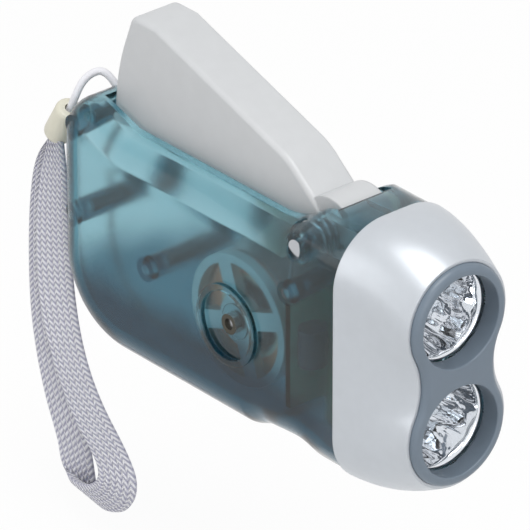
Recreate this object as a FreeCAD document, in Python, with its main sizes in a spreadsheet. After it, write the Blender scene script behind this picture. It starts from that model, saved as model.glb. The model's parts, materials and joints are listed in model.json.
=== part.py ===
import FreeCAD, Part
import math
import os
import re
import Sketcher
from FreeCAD import Placement, Rotation, Vector

# A palm-sized squeeze torch: a lever drives a gear train, a flywheel generator and two lamps.
# X points forward to the lamps, Z up to the lever and Y to the left; the origin is the middle of the grip.

doc = FreeCAD.newDocument("SqueezeTorch")

SIZES = {
    # Housing outline, half width and walls
    "rear_x": -38.0,
    "rim_x": 38.0,
    "rear_top_z": 24.0,
    "saddle_rear_x": -22.0,
    "saddle_front_x": 21.0,
    "saddle_z": 19.0,
    "collar_x": 28.5,
    "collar_z": 24.0,
    "rim_half_height": 24.6,
    "rim_step": 0.4,
    "rim_blend_x": 21.0,
    "belly_z": -23.8,
    "belly_front_x": 13.5,
    "heel_x": 17.5,
    "heel_z": -22.2,
    "throat_x": 26.0,
    "throat_z": -21.6,
    "half_width": 13.0,
    "wall_thick": 2.0,
    "side_round": 6.5,
    "inner_bevel": 3.6,
    "rear_top_round": 6.5,
    "rear_belly_round": 17.0,
    "heel_round": 5.0,
    "flare_round": 14.0,
    "collar_round": 9.0,
    # Lever slot
    "slot_rear_x": -31.6,
    "slot_front_x": 30.2,
    "slot_half": 6.0,
    "slot_floor_z": 14.0,
    # Lever and its pivot
    "pivot_x": 26.4,
    "pivot_z": 17.2,
    "lever_half": 5.0,
    "lever_heel_z": 17.0,
    "lever_tip_x": -25.6,
    "lever_tip_z": 39.2,
    "lever_back_x": -29.7,
    "lever_back_z": 28.2,
    "lever_rear_x": -30.8,
    "lever_crown_x": -19.3,
    "lever_crown_z": 39.2,
    "lever_bend_x": 15.7,
    "lever_bend_z": 27.8,
    "lever_nose_x": 22.3,
    "lever_nose_z": 22.6,
    "lever_wall": 1.5,
    "lever_tip_round": 2.4,
    "lever_bend_round": 14.0,
    "lever_back_round": 40.0,
    "lever_edge_round": 1.0,
    "hub_radius": 6.9,
    "hub_half": 4.5,
    "hub_relief_radius": 7.3,
    "pin_radius": 1.7,
    "pin_half": 12.4,
    "running_gap": 0.05,
    "pivot_boss_radius": 2.9,
    "pivot_boss_y": -5.3,
    "tenon_radius": 3.0,
    "tenon_collar": 4.2,
    "side_gap": 0.2,
    # Gear train
    "gear_module": 0.8,
    "sector_teeth": 62.0,
    "first_pinion_teeth": 10.0,
    "wheel_teeth": 21.0,
    "small_pinion_teeth": 9.0,
    "mesh_angle": 210.0,
    "squeeze_angle": 20.0,
    "axle_radius": 1.0,
    "sleeve_radius": 1.9,
    "plate_y": 2.6,
    "plate_thick": 1.0,
    "plate_rim": 3.0,
    "plate_low_x": -7.5,
    "plate_high_x": 16.5,
    "plate_low_z": -15.5,
    "plate_high_z": 5.0,
    "plate_foot_z": -21.6,
    "pedestal_radius": 6.0,
    "low_post_x": 1.0,
    "low_post_z": -20.0,
    "fore_post_x": 13.8,
    "fore_post_z": -13.0,
    "post_radius": 1.7,
    "plate_screw_radius": 0.7,
    "plate_screw_length": 5.0,
    "pressure_angle": 20.0,
    "addendum": 0.92,
    "dedendum": 1.2,
    "backlash": 0.1,
    "sector_hub": 4.2,
    "sector_y": 6.0,
    "sector_thick": 1.8,
    "pinion_width": 2.0,
    "gear_thick": 1.4,
    "first_wheel_y": 8.2,
    "second_wheel_y": 4.0,
    "seat_y": 10.2,
    "seat_radius": 2.6,
    "axle_end_y": 12.0,
    # Flywheel generator
    "flywheel_x": 9.7,
    "flywheel_z": -4.0,
    "flywheel_radius": 12.2,
    "flywheel_rim": 1.6,
    "flywheel_hub": 4.6,
    "flywheel_y": -10.2,
    "flywheel_thick": 2.0,
    "spoke_width": 3.4,
    "spoke_turn": 20.0,
    "magnet_radius": 5.9,
    "magnet_y": -7.8,
    "magnet_thick": 5.6,
    "rotor_start_y": -12.4,
    "rotor_end_y": 5.8,
    "core_inner": 6.4,
    "core_outer": 11.9,
    "core_wall": 0.5,
    "core_front_y": -7.2,
    "core_rear_y": -1.0,
    "coil_inner": 7.6,
    "coil_outer": 10.8,
    "claw_count": 8.0,
    "claw_width": 3.0,
    "bearing_ring_radius": 7.6,
    "ring_thick": 1.2,
    "bearing_ring_y": 0.9,
    "bearing_boss_radius": 3.3,
    "bearing_boss_y": 10.5,
    "bush_radius": 1.9,
    # Screw bosses
    "boss_radius": 2.1,
    "pilot_depth": 8.0,
    "screw_seat_y": 9.6,
    "screw_end_y": -7.5,
    "screw_radius": 0.9,
    "screw_head_radius": 1.7,
    "screw_head_thick": 1.4,
    "rear_boss_x": -33.2,
    "upper_boss_z": 17.0,
    "lower_boss_z": 0.0,
    "middle_boss_x": -12.6,
    "middle_boss_z": -2.5,
    "front_boss_x": 24.6,
    "front_boss_z": 8.1,
    # Head, bezel and lamps
    "front_x": 55.0,
    "head_front_x": 53.7,
    "head_half_width": 14.0,
    "head_half_height": 25.0,
    "head_bulge": 1.3,
    "head_wall": 1.5,
    "waist_start": 1.0,
    "lamp_spacing": 21.0,
    "bezel_radius": 10.4,
    "shell_front_radius": 11.0,
    "waist_half": 7.9,
    "shell_waist": 8.5,
    "bezel_rear_x": 50.2,
    "well_radius": 8.5,
    "well_depth": 3.6,
    "window_radius": 9.0,
    "window_thick": 1.2,
    "reflector_mouth": 8.3,
    "reflector_flange": 0.6,
    "reflector_neck": 2.7,
    "reflector_rear_x": 38.6,
    "reflector_wall": 0.8,
    "reflector_lip": 0.1,
    "led_radius": 2.5,
    "led_base_radius": 2.9,
    "led_foot": 1.0,
    "led_dome": 2.0,
    "led_tip_x": 46.0,
    "led_board_x": 36.3,
    "board_thick": 1.2,
    "led_board_half_width": 11.0,
    "led_board_half_height": 17.8,
    # Main board and cell
    "main_board_x": 23.2,
    "main_board_low_z": -14.8,
    "main_board_high_z": 5.4,
    "cell_radius": 5.95,
    "cell_length": 15.0,
    "cell_z": -10.0,
    "diode_radius": 0.9,
    "diode_length": 3.6,
    "diode_y": 7.0,
    "diode_pitch": 3.4,
    "capacitor_radius": 2.5,
    "capacitor_length": 7.0,
    "capacitor_y": -8.2,
    "capacitor_z": -6.0,
    # Lever spring
    "spring_radius": 3.6,
    "spring_wire": 0.35,
    "spring_pitch": 1.2,
    "spring_turns": 2.25,
    "spring_y": -8.6,
    "spring_start": 176.0,
    "spring_arm": 10.4,
    "spring_bend": 0.7,
    "spring_leg": 1.4,
    "spring_relief": 4.3,
    # Wrist strap
    "tape_thick": 1.8,
    "tether_radius": 0.7,
    "tether_hole_radius": 1.0,
    "tether_x": -33.8,
    "tether_z": 17.8,
    "ferrule_radius": 2.6,
    "ferrule_x": -40.3,
    "ferrule_y": -6.7,
    "ferrule_z": 16.0,
    "ferrule_lean": 30.3,
    "ferrule_length": 7.5,
}

sheet = doc.addObject("Spreadsheet::Sheet", "Sizes")
for row, (alias, value) in enumerate(SIZES.items(), start=1):
    sheet.set(f"A{row}", alias)
    sheet.set(f"B{row}", str(value))
    sheet.setAlias(f"B{row}", alias)
doc.recompute()

NODES = []
WORD = re.compile(r"[a-z]+(?:_[a-z]+)+")


def size(alias):
    return float(sheet.get(alias))


def linked(text):
    """The expression with each size's name pointing into the sheet."""
    return WORD.sub(lambda word: f"Sizes.{word.group(0)}", str(text))


def bind(item, **properties):
    for name, text in properties.items():
        item.setExpression(name, linked(text))
    return item


def place(item, x=0, y=0, z=0, turn=None):
    """Puts an item at bound coordinates, turned by a fixed rotation."""
    item.Placement = Placement(Vector(0, 0, 0), turn or Rotation())
    for axis, text in (("x", x), ("y", y), ("z", z)):
        item.setExpression(f"Placement.Base.{axis}", linked(text))
    return item


ALONG_X = Rotation(Vector(0, 1, 0), 90)
ALONG_Y = Rotation(Vector(1, 0, 0), -90)
UPRIGHT = Rotation()


def cylinder(name, radius, length, x, y, z, turn=ALONG_Y):
    item = doc.addObject("Part::Cylinder", name)
    bind(item, Radius=radius, Height=length)
    return place(item, x, y, z, turn)


def cone(name, start, end, length, x, y, z, turn=ALONG_Y):
    item = doc.addObject("Part::Cone", name)
    bind(item, Radius1=start, Radius2=end, Height=length)
    return place(item, x, y, z, turn)


def block(name, x, y, z, length, width, height):
    item = doc.addObject("Part::Box", name)
    bind(item, Length=length, Width=width, Height=height)
    return place(item, x, y, z)


def fuse(name, *pieces):
    item = doc.addObject("Part::MultiFuse", name)
    item.Shapes = list(pieces)
    return item


def cut(name, base, *tools):
    item = doc.addObject("Part::Cut", name)
    item.Base = base
    item.Tool = tools[0] if len(tools) == 1 else fuse(name + "_tools", *tools)
    return item


def common(name, first, second):
    item = doc.addObject("Part::MultiCommon", name)
    item.Shapes = [first, second]
    return item


def solid(name, shape):
    """A piece whose shape is worked out from the sheet in code."""
    item = doc.addObject("Part::Feature", name)
    item.Shape = shape
    item.Placement = Placement(Vector(0, 0, 0), Rotation())
    return item


def node(label, item):
    item.Label = label
    NODES.append(item)
    return item


# Outlines and bodies


def origin_plane(body, role):
    return next(item for item in body.Origin.OriginFeatures if item.Role == role)


def outline(body, name, corners, role="XZ_Plane"):
    """A closed sketch of straight edges whose corners are pairs of bound coordinates."""
    sketch = body.newObject("Sketcher::SketchObject", name)
    sketch.AttachmentSupport = [(origin_plane(body, role), "")]
    sketch.MapMode = "FlatFace"
    count = len(corners)
    step = 2 * math.pi / count
    ring = [Vector(-math.cos(k * step), math.sin(k * step), 0) * 20 for k in range(count)]
    for k in range(count):
        sketch.addGeometry(Part.LineSegment(ring[k], ring[(k + 1) % count]), False)
    for k in range(count):
        sketch.addConstraint(Sketcher.Constraint("Coincident", (k - 1) % count, 2, k, 1))
    for k, corner in enumerate(corners):
        for kind, text in zip(("DistanceX", "DistanceY"), corner):
            index = sketch.addConstraint(Sketcher.Constraint(kind, -1, 1, k, 1, 1.0))
            sketch.setExpression(f"Constraints[{index}]", linked(text))
    doc.recompute()
    return sketch


def cross_edges(shape, x, z):
    """The names of a shape's edges that run along Y through (x, z)."""
    names = []
    for index, edge in enumerate(shape.Edges, start=1):
        ends = [vertex.Point for vertex in edge.Vertexes]
        if len(ends) == 2 and all(math.hypot(p.x - x, p.z - z) < 1e-3 for p in ends):
            names.append(f"Edge{index}")
    return names


def round_corners(body, base, corners, label="corner"):
    """Rounds the edges along Y at each corner, each by its own bound radius."""
    for index, (x, z, radius) in enumerate(corners):
        rounded = body.newObject("PartDesign::Fillet", f"{body.Name}_{label}{index}")
        rounded.Base = (base, cross_edges(base.Shape, x, z))
        rounded.setExpression("Radius", linked(radius))
        doc.recompute()
        base = rounded
    return base


def edges_at_y(shape, y, skip_x=None):
    """The names of the edges that lie wholly at one Y, leaving out those at skip_x."""
    names = []
    for index, edge in enumerate(shape.Edges, start=1):
        box = edge.BoundBox
        if abs(box.YMin - y) > 1e-3 or abs(box.YMax - y) > 1e-3:
            continue
        if skip_x is not None and abs(box.XMin - skip_x) < 1e-3 and abs(box.XMax - skip_x) < 1e-3:
            continue
        names.append(f"Edge{index}")
    return names


# Housing halves

OUTER = (
    ("rear_x", "rear_top_z", "rear_top_round"),
    ("saddle_rear_x", "saddle_z", None),
    ("saddle_front_x", "saddle_z", "flare_round"),
    ("collar_x", "collar_z", "collar_round"),
    ("rim_x", "rim_half_height", None),
    ("rim_x", "-rim_half_height", None),
    ("throat_x", "throat_z", "flare_round"),
    ("heel_x", "heel_z", "heel_round"),
    ("belly_front_x", "belly_z", "heel_round"),
    ("rear_x", "belly_z", "rear_belly_round"),
)

INNER = (
    ("rear_x + wall_thick", "rear_top_z - wall_thick", "rear_top_round - wall_thick"),
    ("saddle_rear_x", "saddle_z - wall_thick", None),
    ("saddle_front_x", "saddle_z - wall_thick", None),
    ("collar_x", "collar_z - wall_thick", None),
    ("rim_x + wall_thick", "rim_half_height - wall_thick", None),
    ("rim_x + wall_thick", "wall_thick - rim_half_height", None),
    ("throat_x", "throat_z + wall_thick", None),
    ("belly_front_x", "belly_z + wall_thick", None),
    ("rear_x + wall_thick", "belly_z + wall_thick", "rear_belly_round - wall_thick"),
)


def corners_of(sketch, table):
    """Where a sketch's corners came out, with the radius each one takes."""
    starts = [line.StartPoint for line in sketch.Geometry]
    return [(p.x, p.y, radius) for p, (_, _, radius) in zip(starts, table) if radius]


def rounded_slab(name, table, length, side):
    """An outline padded to one side, with its corners rounded."""
    body = doc.addObject("PartDesign::Body", name)
    profile = outline(body, f"{name}_profile", [(x, z) for x, z, _ in table])
    pad = body.newObject("PartDesign::Pad", f"{name}_pad")
    pad.Profile = profile
    pad.Reversed = side > 0
    bind(pad, Length=length)
    doc.recompute()
    return body, round_corners(body, pad, corners_of(profile, table))


def half_shell(name, side):
    """One moulded half: rounded towards its side, less a bevelled core."""
    outer, base = rounded_slab(f"{name}_outer", OUTER, "half_width", side)
    rounded = outer.newObject("PartDesign::Fillet", f"{name}_side")
    rounded.Base = (base, edges_at_y(base.Shape, side * size("half_width"), size("rim_x")))
    bind(rounded, Radius="side_round")
    rimmed = cut(f"{name}_rim", outer, rim_waste(f"{name}_waste"))
    core, base = rounded_slab(f"{name}_core", INNER, "half_width - wall_thick", side)
    floor = side * (size("half_width") - size("wall_thick"))
    bevel = core.newObject("PartDesign::Chamfer", f"{name}_bevel")
    bevel.Base = (base, edges_at_y(base.Shape, floor, size("rim_x") + size("wall_thick")))
    bind(bevel, Size="inner_bevel")
    doc.recompute()
    return cut(f"{name}_shell", rimmed, core)


def rim_waste(name):
    """What lies outside the head's rear outline, from where the sides start to blend into it."""
    low, high = size("rim_blend_x"), size("rim_x") + size("wall_thick")
    reach = 2 * size("head_half_height")
    middle, radius = head_stations(1)[0], size("shell_front_radius") - size("rim_step")
    ring = station_ring(Vector(low, middle.y, middle.z), radius)
    waste = Part.makeBox(high - low, 2 * reach, 2 * reach, Vector(low, -reach, -reach))
    return solid(name, waste.cut(Part.Face(Part.Wire(ring)).extrude(Vector(high - low, 0, 0))))


BOSSES = (
    ("rear_boss_x", "upper_boss_z"),
    ("rear_boss_x", "lower_boss_z"),
    ("middle_boss_x", "middle_boss_z"),
    ("front_boss_x", "front_boss_z"),
)
BOSS_REACH = "half_width - wall_thick / 2"
POSTS = (("fore_post_x", "fore_post_z"), ("low_post_x", "low_post_z"))
FIRST_AXLE = ("first_axle_x", "first_axle_z")
SECOND_AXLE = ("second_axle_x", "second_axle_z")


def right_housing():
    """The half nearest the viewer, with bosses, the pivot boss and the flywheel's bearing."""
    shell = half_shell("right", -1)
    adds = [shell]
    cuts = [lever_slot("right")]
    for index, (x, z) in enumerate(BOSSES):
        adds.append(cylinder(f"right_boss{index}", "boss_radius", BOSS_REACH, x, f"-({BOSS_REACH})", z))
        cuts.append(cylinder(f"right_pilot{index}", "screw_radius", "pilot_depth", x, "-pilot_depth", z))
    adds.append(cylinder("right_pivot_boss", "pivot_boss_radius", f"{BOSS_REACH} + pivot_boss_y",
                         "pivot_x", f"-({BOSS_REACH})", "pivot_z"))
    adds.append(cylinder("right_bearing_boss", "bearing_boss_radius", "half_width - bearing_boss_y",
                         "flywheel_x", "-half_width", "flywheel_z"))
    ring = cylinder("right_ring_outer", "bearing_ring_radius", "wall_thick", "flywheel_x",
                    "-half_width - bearing_ring_y", "flywheel_z")
    inside = cylinder("right_ring_inner", "bearing_ring_radius - ring_thick", "2 * wall_thick", "flywheel_x",
                      "-half_width - wall_thick", "flywheel_z")
    adds.append(cut("right_ring", ring, inside))
    cuts.append(cylinder("right_pin_hole", "pin_radius", "half_width * 2", "pivot_x", "-half_width * 2", "pivot_z"))
    cuts.append(cylinder("right_bush_hole", "bush_radius", "half_width", "flywheel_x",
                         "-half_width * 1.5", "flywheel_z"))
    cuts.append(cylinder("right_spring_relief", "spring_relief", "-pivot_boss_y - spring_y", "pivot_x",
                         "spring_y * 1.1", "pivot_z"))
    cuts.append(hub_relief("right"))
    cuts.append(tether_hole("right"))
    return cut("right_half", fuse("right_moulding", *adds), *cuts)


def left_housing():
    """The far half, with counterbored bosses, the gear plate's posts and the axles' seats."""
    shell = half_shell("left", 1)
    adds = [shell]
    cuts = [lever_slot("left")]
    for index, (x, z) in enumerate(BOSSES):
        adds.append(cylinder(f"left_boss{index}", "boss_radius", BOSS_REACH, x, 0, z))
        cuts.append(cylinder(f"left_clear{index}", "screw_radius + running_gap", "half_width", x, 0, z))
        cuts.append(cylinder(f"left_sink{index}", "screw_head_radius + running_gap", "half_width",
                             x, "screw_seat_y", z))
    adds.append(cylinder("left_pivot_boss", "pivot_boss_radius",
                         f"{BOSS_REACH} - sector_y - sector_thick - side_gap",
                         "pivot_x", "sector_y + sector_thick + side_gap", "pivot_z"))
    for index, (x, z) in enumerate((FIRST_AXLE, SECOND_AXLE)):
        adds.append(cylinder(f"left_seat{index}", "seat_radius", f"{BOSS_REACH} - seat_y", x, "seat_y", z))
        cuts.append(cylinder(f"left_axle_hole{index}", "axle_radius", "axle_end_y - seat_y + side_gap",
                             x, "seat_y - side_gap", z))
    for index, (x, z) in enumerate(POSTS):
        adds.append(cylinder(f"left_post{index}", "post_radius",
                             f"{BOSS_REACH} - plate_y - plate_thick", x, "plate_y + plate_thick", z))
        cuts.append(cylinder(f"left_post_pilot{index}", "plate_screw_radius", "plate_screw_length",
                             x, "plate_y + plate_thick", z))
    cuts.append(cylinder("left_pin_hole", "pin_radius", "half_width * 2", "pivot_x", 0, "pivot_z"))
    cuts.append(cylinder("left_sector_relief", "sector_hub + side_gap", "sector_thick + 2 * side_gap",
                         "pivot_x", "sector_y - side_gap", "pivot_z"))
    cuts.append(hub_relief("left"))
    cuts.append(tether_hole("left"))
    return cut("left_half", fuse("left_moulding", *adds), *cuts)


TETHER_WAY = Rotation(Vector(0, 0, 1), Vector(-0.6, 0, 0.8))


def lever_slot(name):
    return block(f"{name}_slot", "slot_rear_x", "-slot_half", "slot_floor_z",
                 "slot_front_x - slot_rear_x", "2 * slot_half", "rear_top_z")


def hub_relief(name):
    """Room inside the collar for the lever's hub to turn."""
    return cylinder(f"{name}_hub_relief", "hub_relief_radius", "2 * slot_half", "pivot_x", "-slot_half", "pivot_z")


def tether_hole(name):
    return cylinder(f"{name}_tether_hole", "tether_hole_radius", "rear_top_round",
                    "tether_x", 0, "tether_z", TETHER_WAY)


# Lever


def lever():
    """A deep box lever, open underneath, with a solid hub round its pivot."""
    body = doc.addObject("PartDesign::Body", "lever_box")
    ridge = [("lever_tip_x", "lever_tip_z"), ("lever_crown_x", "lever_crown_z"),
             ("lever_bend_x", "lever_bend_z"), ("lever_nose_x", "lever_nose_z")]
    corners = ridge + [("pivot_x", "pivot_z"), ("lever_rear_x", "lever_heel_z"), ("lever_back_x", "lever_back_z")]
    profile = outline(body, "lever_profile", corners)
    pad = body.newObject("PartDesign::Pad", "lever_pad")
    pad.Profile = profile
    pad.Midplane = True
    bind(pad, Length="2 * lever_half")
    doc.recompute()
    rounds = [(size("lever_tip_x"), size("lever_tip_z"), "lever_tip_round"),
              (size("lever_bend_x"), size("lever_bend_z"), "lever_bend_round"),
              (size("lever_back_x"), size("lever_back_z"), "lever_back_round")]
    base = round_corners(body, pad, rounds)
    crest = body.newObject("PartDesign::Fillet", "lever_crest")
    crest.Base = (base, [name for y in (-1, 1) for name in edges_at_y(base.Shape, y * size("lever_half"))
                         if ridge_edge(base.Shape.getElement(name))])
    bind(crest, Radius="lever_edge_round")
    doc.recompute()
    inside = [("lever_tip_x + lever_wall", "lever_tip_z - lever_wall"),
              ("lever_crown_x", "lever_crown_z - lever_wall"),
              ("lever_bend_x - lever_wall", "lever_bend_z - lever_wall"),
              ("lever_bend_x - lever_wall", "lever_heel_z - lever_wall"),
              ("lever_rear_x + lever_wall", "lever_heel_z - lever_wall"),
              ("lever_back_x + lever_wall", "lever_back_z")]
    hollow = body.newObject("PartDesign::Pocket", "lever_hollow")
    hollow.Profile = outline(body, "lever_inside", inside)
    hollow.Midplane = True
    bind(hollow, Length="2 * lever_half - 2 * lever_wall")
    doc.recompute()
    if hollow.Shape.Volume > 0.8 * pad.Shape.Volume:
        raise ValueError("the lever wasn't hollowed")
    hub = cylinder("lever_hub", "hub_radius", "2 * hub_half", "pivot_x", "-hub_half", "pivot_z")
    collar = cylinder("lever_collar", "tenon_collar", "sector_y - hub_half", "pivot_x", "hub_half", "pivot_z")
    tenon = cylinder("lever_tenon", "tenon_radius", "sector_thick + side_gap / 2", "pivot_x", "sector_y", "pivot_z")
    bore = cylinder("lever_bore", "pin_radius + running_gap", "4 * lever_half", "pivot_x", "-2 * lever_half", "pivot_z")
    hook = spring_hook()
    catch = cylinder("lever_spring_hole", "spring_wire + running_gap", "2 * spring_leg",
                     f"pivot_x + ({hook.x:.4f})", "-hub_half - spring_leg / 2", f"pivot_z + ({hook.z:.4f})")
    return cut("lever_moulding", fuse("lever_solid", body, hub, collar, tenon), bore, catch)


def ridge_edge(edge):
    """Whether a side edge belongs to the ridge or the back, not to the open underside."""
    middle = edge.BoundBox.Center
    return middle.z > size("lever_heel_z") + 1 and middle.x < size("lever_nose_x") + 1


# Gear train


def involute_point(base, turn):
    return base * (math.cos(turn) + turn * math.sin(turn)), base * (math.sin(turn) - turn * math.cos(turn))


def polar(radius, angle):
    return Vector(radius * math.cos(angle), 0, radius * math.sin(angle))


def tooth_flank(teeth, side):
    """One involute flank from root to tip, about the tooth's middle, as radius and angle."""
    pitch = size("gear_module") * teeth / 2
    base = pitch * math.cos(math.radians(size("pressure_angle")))
    root = pitch - size("gear_module") * size("dedendum")
    tip = pitch + size("gear_module") * size("addendum")
    half_tooth = (math.pi / 2 - size("backlash") / size("gear_module")) / teeth
    at_pitch = math.sqrt((pitch / base) ** 2 - 1)
    offset = half_tooth + at_pitch - math.atan(at_pitch)
    low = max(base, root)
    stations = [math.sqrt(max(((low + (tip - low) * part) / base) ** 2 - 1, 0)) for part in (0, 0.5, 1)]
    flank = []
    for turn in stations:
        x, z = involute_point(base, turn)
        flank.append((math.hypot(x, z), side * (offset - math.atan2(z, x))))
    return root, flank


def gear_outline(teeth, phase, first=0, last=None):
    """Edges of the teeth from root to root; the angles grow anticlockwise seen from the right."""
    last = teeth if last is None else last
    edges = []
    for index in range(first, last):
        middle = phase + 2 * math.pi * index / teeth
        root, rising = tooth_flank(teeth, -1)
        falling = tooth_flank(teeth, 1)[1][::-1]
        start = polar(root, middle + rising[0][1])
        up = [polar(radius, middle + angle) for radius, angle in rising]
        down = [polar(radius, middle + angle) for radius, angle in falling]
        end = polar(root, middle + falling[-1][1])
        if edges and (edges[-1][1] - start).Length > 1e-6:
            edges.append((edges[-1][1], start))
        if (up[0] - start).Length > 1e-6:
            edges.append((start, up[0]))
        trail = up + down
        if (down[-1] - end).Length > 1e-6:
            trail.append(end)
        edges += list(zip(trail, trail[1:]))
    return edges


def gear_solid(teeth, phase, thick, bore):
    """A spur gear about the Y axis, starting at Y = 0, with a round bore."""
    edges = gear_outline(teeth, phase)
    edges.append((edges[-1][1], edges[0][0]))
    wire = Part.Wire([Part.makeLine(*edge) for edge in edges])
    gear = Part.Face(wire).extrude(Vector(0, thick, 0))
    return gear.cut(Part.makeCylinder(bore, thick, Vector(0, 0, 0), Vector(0, 1, 0)))


def sector_solid(phase):
    """The lever's toothed sector: a hub ring, a web and as many teeth as the squeeze needs."""
    teeth = int(size("sector_teeth"))
    step = 2 * math.pi / teeth
    low = math.radians(size("mesh_angle")) - math.radians(size("squeeze_angle")) - 1.5 * step
    high = math.radians(size("mesh_angle")) + 1.5 * step
    first = math.ceil((low - phase) / step)
    last = math.floor((high - phase) / step) + 1
    edges = gear_outline(teeth, phase, first, last)
    apex = polar(size("sector_hub") * 0.6, (low + high) / 2)
    edges.append((edges[-1][1], apex))
    edges.append((apex, edges[0][0]))
    web = Part.Face(Part.Wire([Part.makeLine(*edge) for edge in edges]))
    web = web.extrude(Vector(0, size("sector_thick"), 0))
    hub = Part.makeCylinder(size("sector_hub"), size("sector_thick"), Vector(0, 0, 0), Vector(0, 1, 0))
    bore = Part.makeCylinder(size("tenon_radius"), size("sector_thick"), Vector(0, 0, 0), Vector(0, 1, 0))
    return web.fuse(hub).cut(bore)


def tube(outer, inner, start, length):
    """A ring about the Y axis."""
    body = Part.makeCylinder(outer, length, Vector(0, start, 0), Vector(0, 1, 0))
    return body.cut(Part.makeCylinder(inner, length, Vector(0, start, 0), Vector(0, 1, 0)))


def mesh_phase(teeth, phase, mate_teeth, towards):
    """The mate's phase, so that one of its gaps meets the gear's tooth along their centre line."""
    own = (towards - phase) * teeth / (2 * math.pi)
    mate = 0.5 - own
    return towards + math.pi - mate * 2 * math.pi / mate_teeth


def axle_centres():
    """The first axle lies on the sector's pitch, the second between the first wheel and the flywheel."""
    module = size("gear_module")
    reach = module * (size("sector_teeth") + size("first_pinion_teeth")) / 2
    angle = math.radians(size("mesh_angle"))
    first = (size("pivot_x") + reach * math.cos(angle), size("pivot_z") + reach * math.sin(angle))
    wheel = (size("flywheel_x"), size("flywheel_z"))
    spread = module * (size("wheel_teeth") + size("small_pinion_teeth")) / 2
    dx, dz = wheel[0] - first[0], wheel[1] - first[1]
    apart = math.hypot(dx, dz)
    rise = math.sqrt(spread ** 2 - (apart / 2) ** 2)
    second = ((first[0] + wheel[0]) / 2 + dz / apart * rise, (first[1] + wheel[1]) / 2 - dx / apart * rise)
    return first, second


def write_axle_centres():
    """Keeps the worked-out axle places in the sheet for the housing and the plate to use."""
    row = len(SIZES) + 1
    for names, centre in zip((FIRST_AXLE, SECOND_AXLE), axle_centres()):
        for alias, value in zip(names, centre):
            sheet.set(f"A{row}", alias)
            sheet.set(f"B{row}", f"{value:.6f}")
            sheet.setAlias(f"B{row}", alias)
            row += 1
    doc.recompute()


def place_shape(name, shape, x, z, y=0):
    """A worked-out shape about the Y axis, moved to its bound axle."""
    return place(solid(name, shape), x, y, z)


def gear_train():
    """Sector, two compound gears and the flywheel's pinion, in mesh at rest."""
    module_teeth = [int(size(name)) for name in
                    ("sector_teeth", "first_pinion_teeth", "wheel_teeth", "small_pinion_teeth")]
    sector_teeth, first_teeth, wheel_teeth, small_teeth = module_teeth
    first = (size("first_axle_x"), size("first_axle_z"))
    second = (size("second_axle_x"), size("second_axle_z"))
    wheel = (size("flywheel_x"), size("flywheel_z"))
    mesh = math.radians(size("mesh_angle"))
    to_second = math.atan2(second[1] - first[1], second[0] - first[0])
    to_wheel = math.atan2(wheel[1] - second[1], wheel[0] - second[0])
    sector_phase = mesh
    first_phase = mesh_phase(sector_teeth, sector_phase, first_teeth, mesh)
    second_phase = mesh_phase(wheel_teeth, 0, small_teeth, to_second)
    wheel_phase = mesh_phase(wheel_teeth, 0, small_teeth, to_wheel)
    bore = size("axle_radius") + size("running_gap")
    plate_top = size("plate_y") + size("plate_thick") + size("side_gap")
    hub_end = size("seat_y") - size("side_gap")

    node("sector_gear", place_shape("sector", sector_solid(sector_phase), "pivot_x", "pivot_z", "sector_y"))

    pinion = gear_solid(first_teeth, first_phase, size("pinion_width"), bore)
    pinion.translate(Vector(0, size("sector_y") - size("side_gap"), 0))
    big = gear_solid(wheel_teeth, 0, size("gear_thick"), bore).translated(Vector(0, size("first_wheel_y"), 0))
    hub = tube(size("sleeve_radius"), bore, plate_top, hub_end - plate_top)
    node("first_gear", place_shape("first", pinion.fuse([big, hub]), *FIRST_AXLE))

    low = gear_solid(wheel_teeth, 0, size("gear_thick"), bore).translated(Vector(0, size("second_wheel_y"), 0))
    small = gear_solid(small_teeth, second_phase, size("pinion_width"), bore)
    small.translate(Vector(0, size("first_wheel_y") - size("side_gap"), 0))
    hub = tube(size("sleeve_radius"), bore, plate_top, hub_end - plate_top)
    node("second_gear", place_shape("second", low.fuse([small, hub]), *SECOND_AXLE))

    driven = gear_solid(small_teeth, wheel_phase, size("pinion_width"), size("axle_radius"))
    node("flywheel_pinion", place_shape("driven", driven, "flywheel_x", "flywheel_z", "second_wheel_y - side_gap"))

    for name, (x, z) in (("first_axle", FIRST_AXLE), ("second_axle", SECOND_AXLE)):
        node(name, cylinder(f"{name}_pin", "axle_radius", "axle_end_y - plate_y", x, "plate_y", z))


def gear_plate():
    """The plate that carries the inner ends of the axles and, on posts, the generator's core."""
    body = doc.addObject("PartDesign::Body", "gear_plate_body")
    corners = [("plate_low_x", "plate_low_z"), ("low_post_x - plate_rim", "plate_foot_z"),
               ("low_post_x + plate_rim", "plate_foot_z"), ("plate_high_x", "plate_low_z"),
               ("plate_high_x", "plate_high_z"),
               ("first_axle_x + plate_rim", "first_axle_z + plate_rim"),
               ("first_axle_x - plate_rim", "first_axle_z + plate_rim / 2"), ("plate_low_x", "middle_boss_z")]
    sketch = outline(body, "gear_plate_outline", corners)
    pad = body.newObject("PartDesign::Pad", "gear_plate_pad")
    pad.Profile = sketch
    pad.Reversed = True
    bind(pad, Length="plate_y + plate_thick")
    doc.recompute()
    trim = block("gear_plate_trim", "rear_x", "-half_width", "-rim_half_height", "2 * rim_x", "half_width + plate_y",
                 "2 * rim_half_height")
    plate = cut("gear_plate_flat", body, trim)
    seat = cylinder("gear_plate_bearing", "pedestal_radius", "plate_y + plate_thick - core_rear_y",
                    "flywheel_x", "core_rear_y", "flywheel_z")
    cuts = [cylinder("gear_plate_bush_hole", "bush_radius", "2 * half_width", "flywheel_x", "-half_width", "flywheel_z")]
    for index, (x, z) in enumerate((FIRST_AXLE, SECOND_AXLE)):
        cuts.append(cylinder(f"gear_plate_axle{index}", "axle_radius", "half_width", x, 0, z))
    for index, (x, z) in enumerate(POSTS):
        cuts.append(cylinder(f"gear_plate_screw{index}", "plate_screw_radius", "half_width", x, 0, z))
    return cut("gear_plate_moulding", fuse("gear_plate_solid", plate, seat), *cuts)


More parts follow.
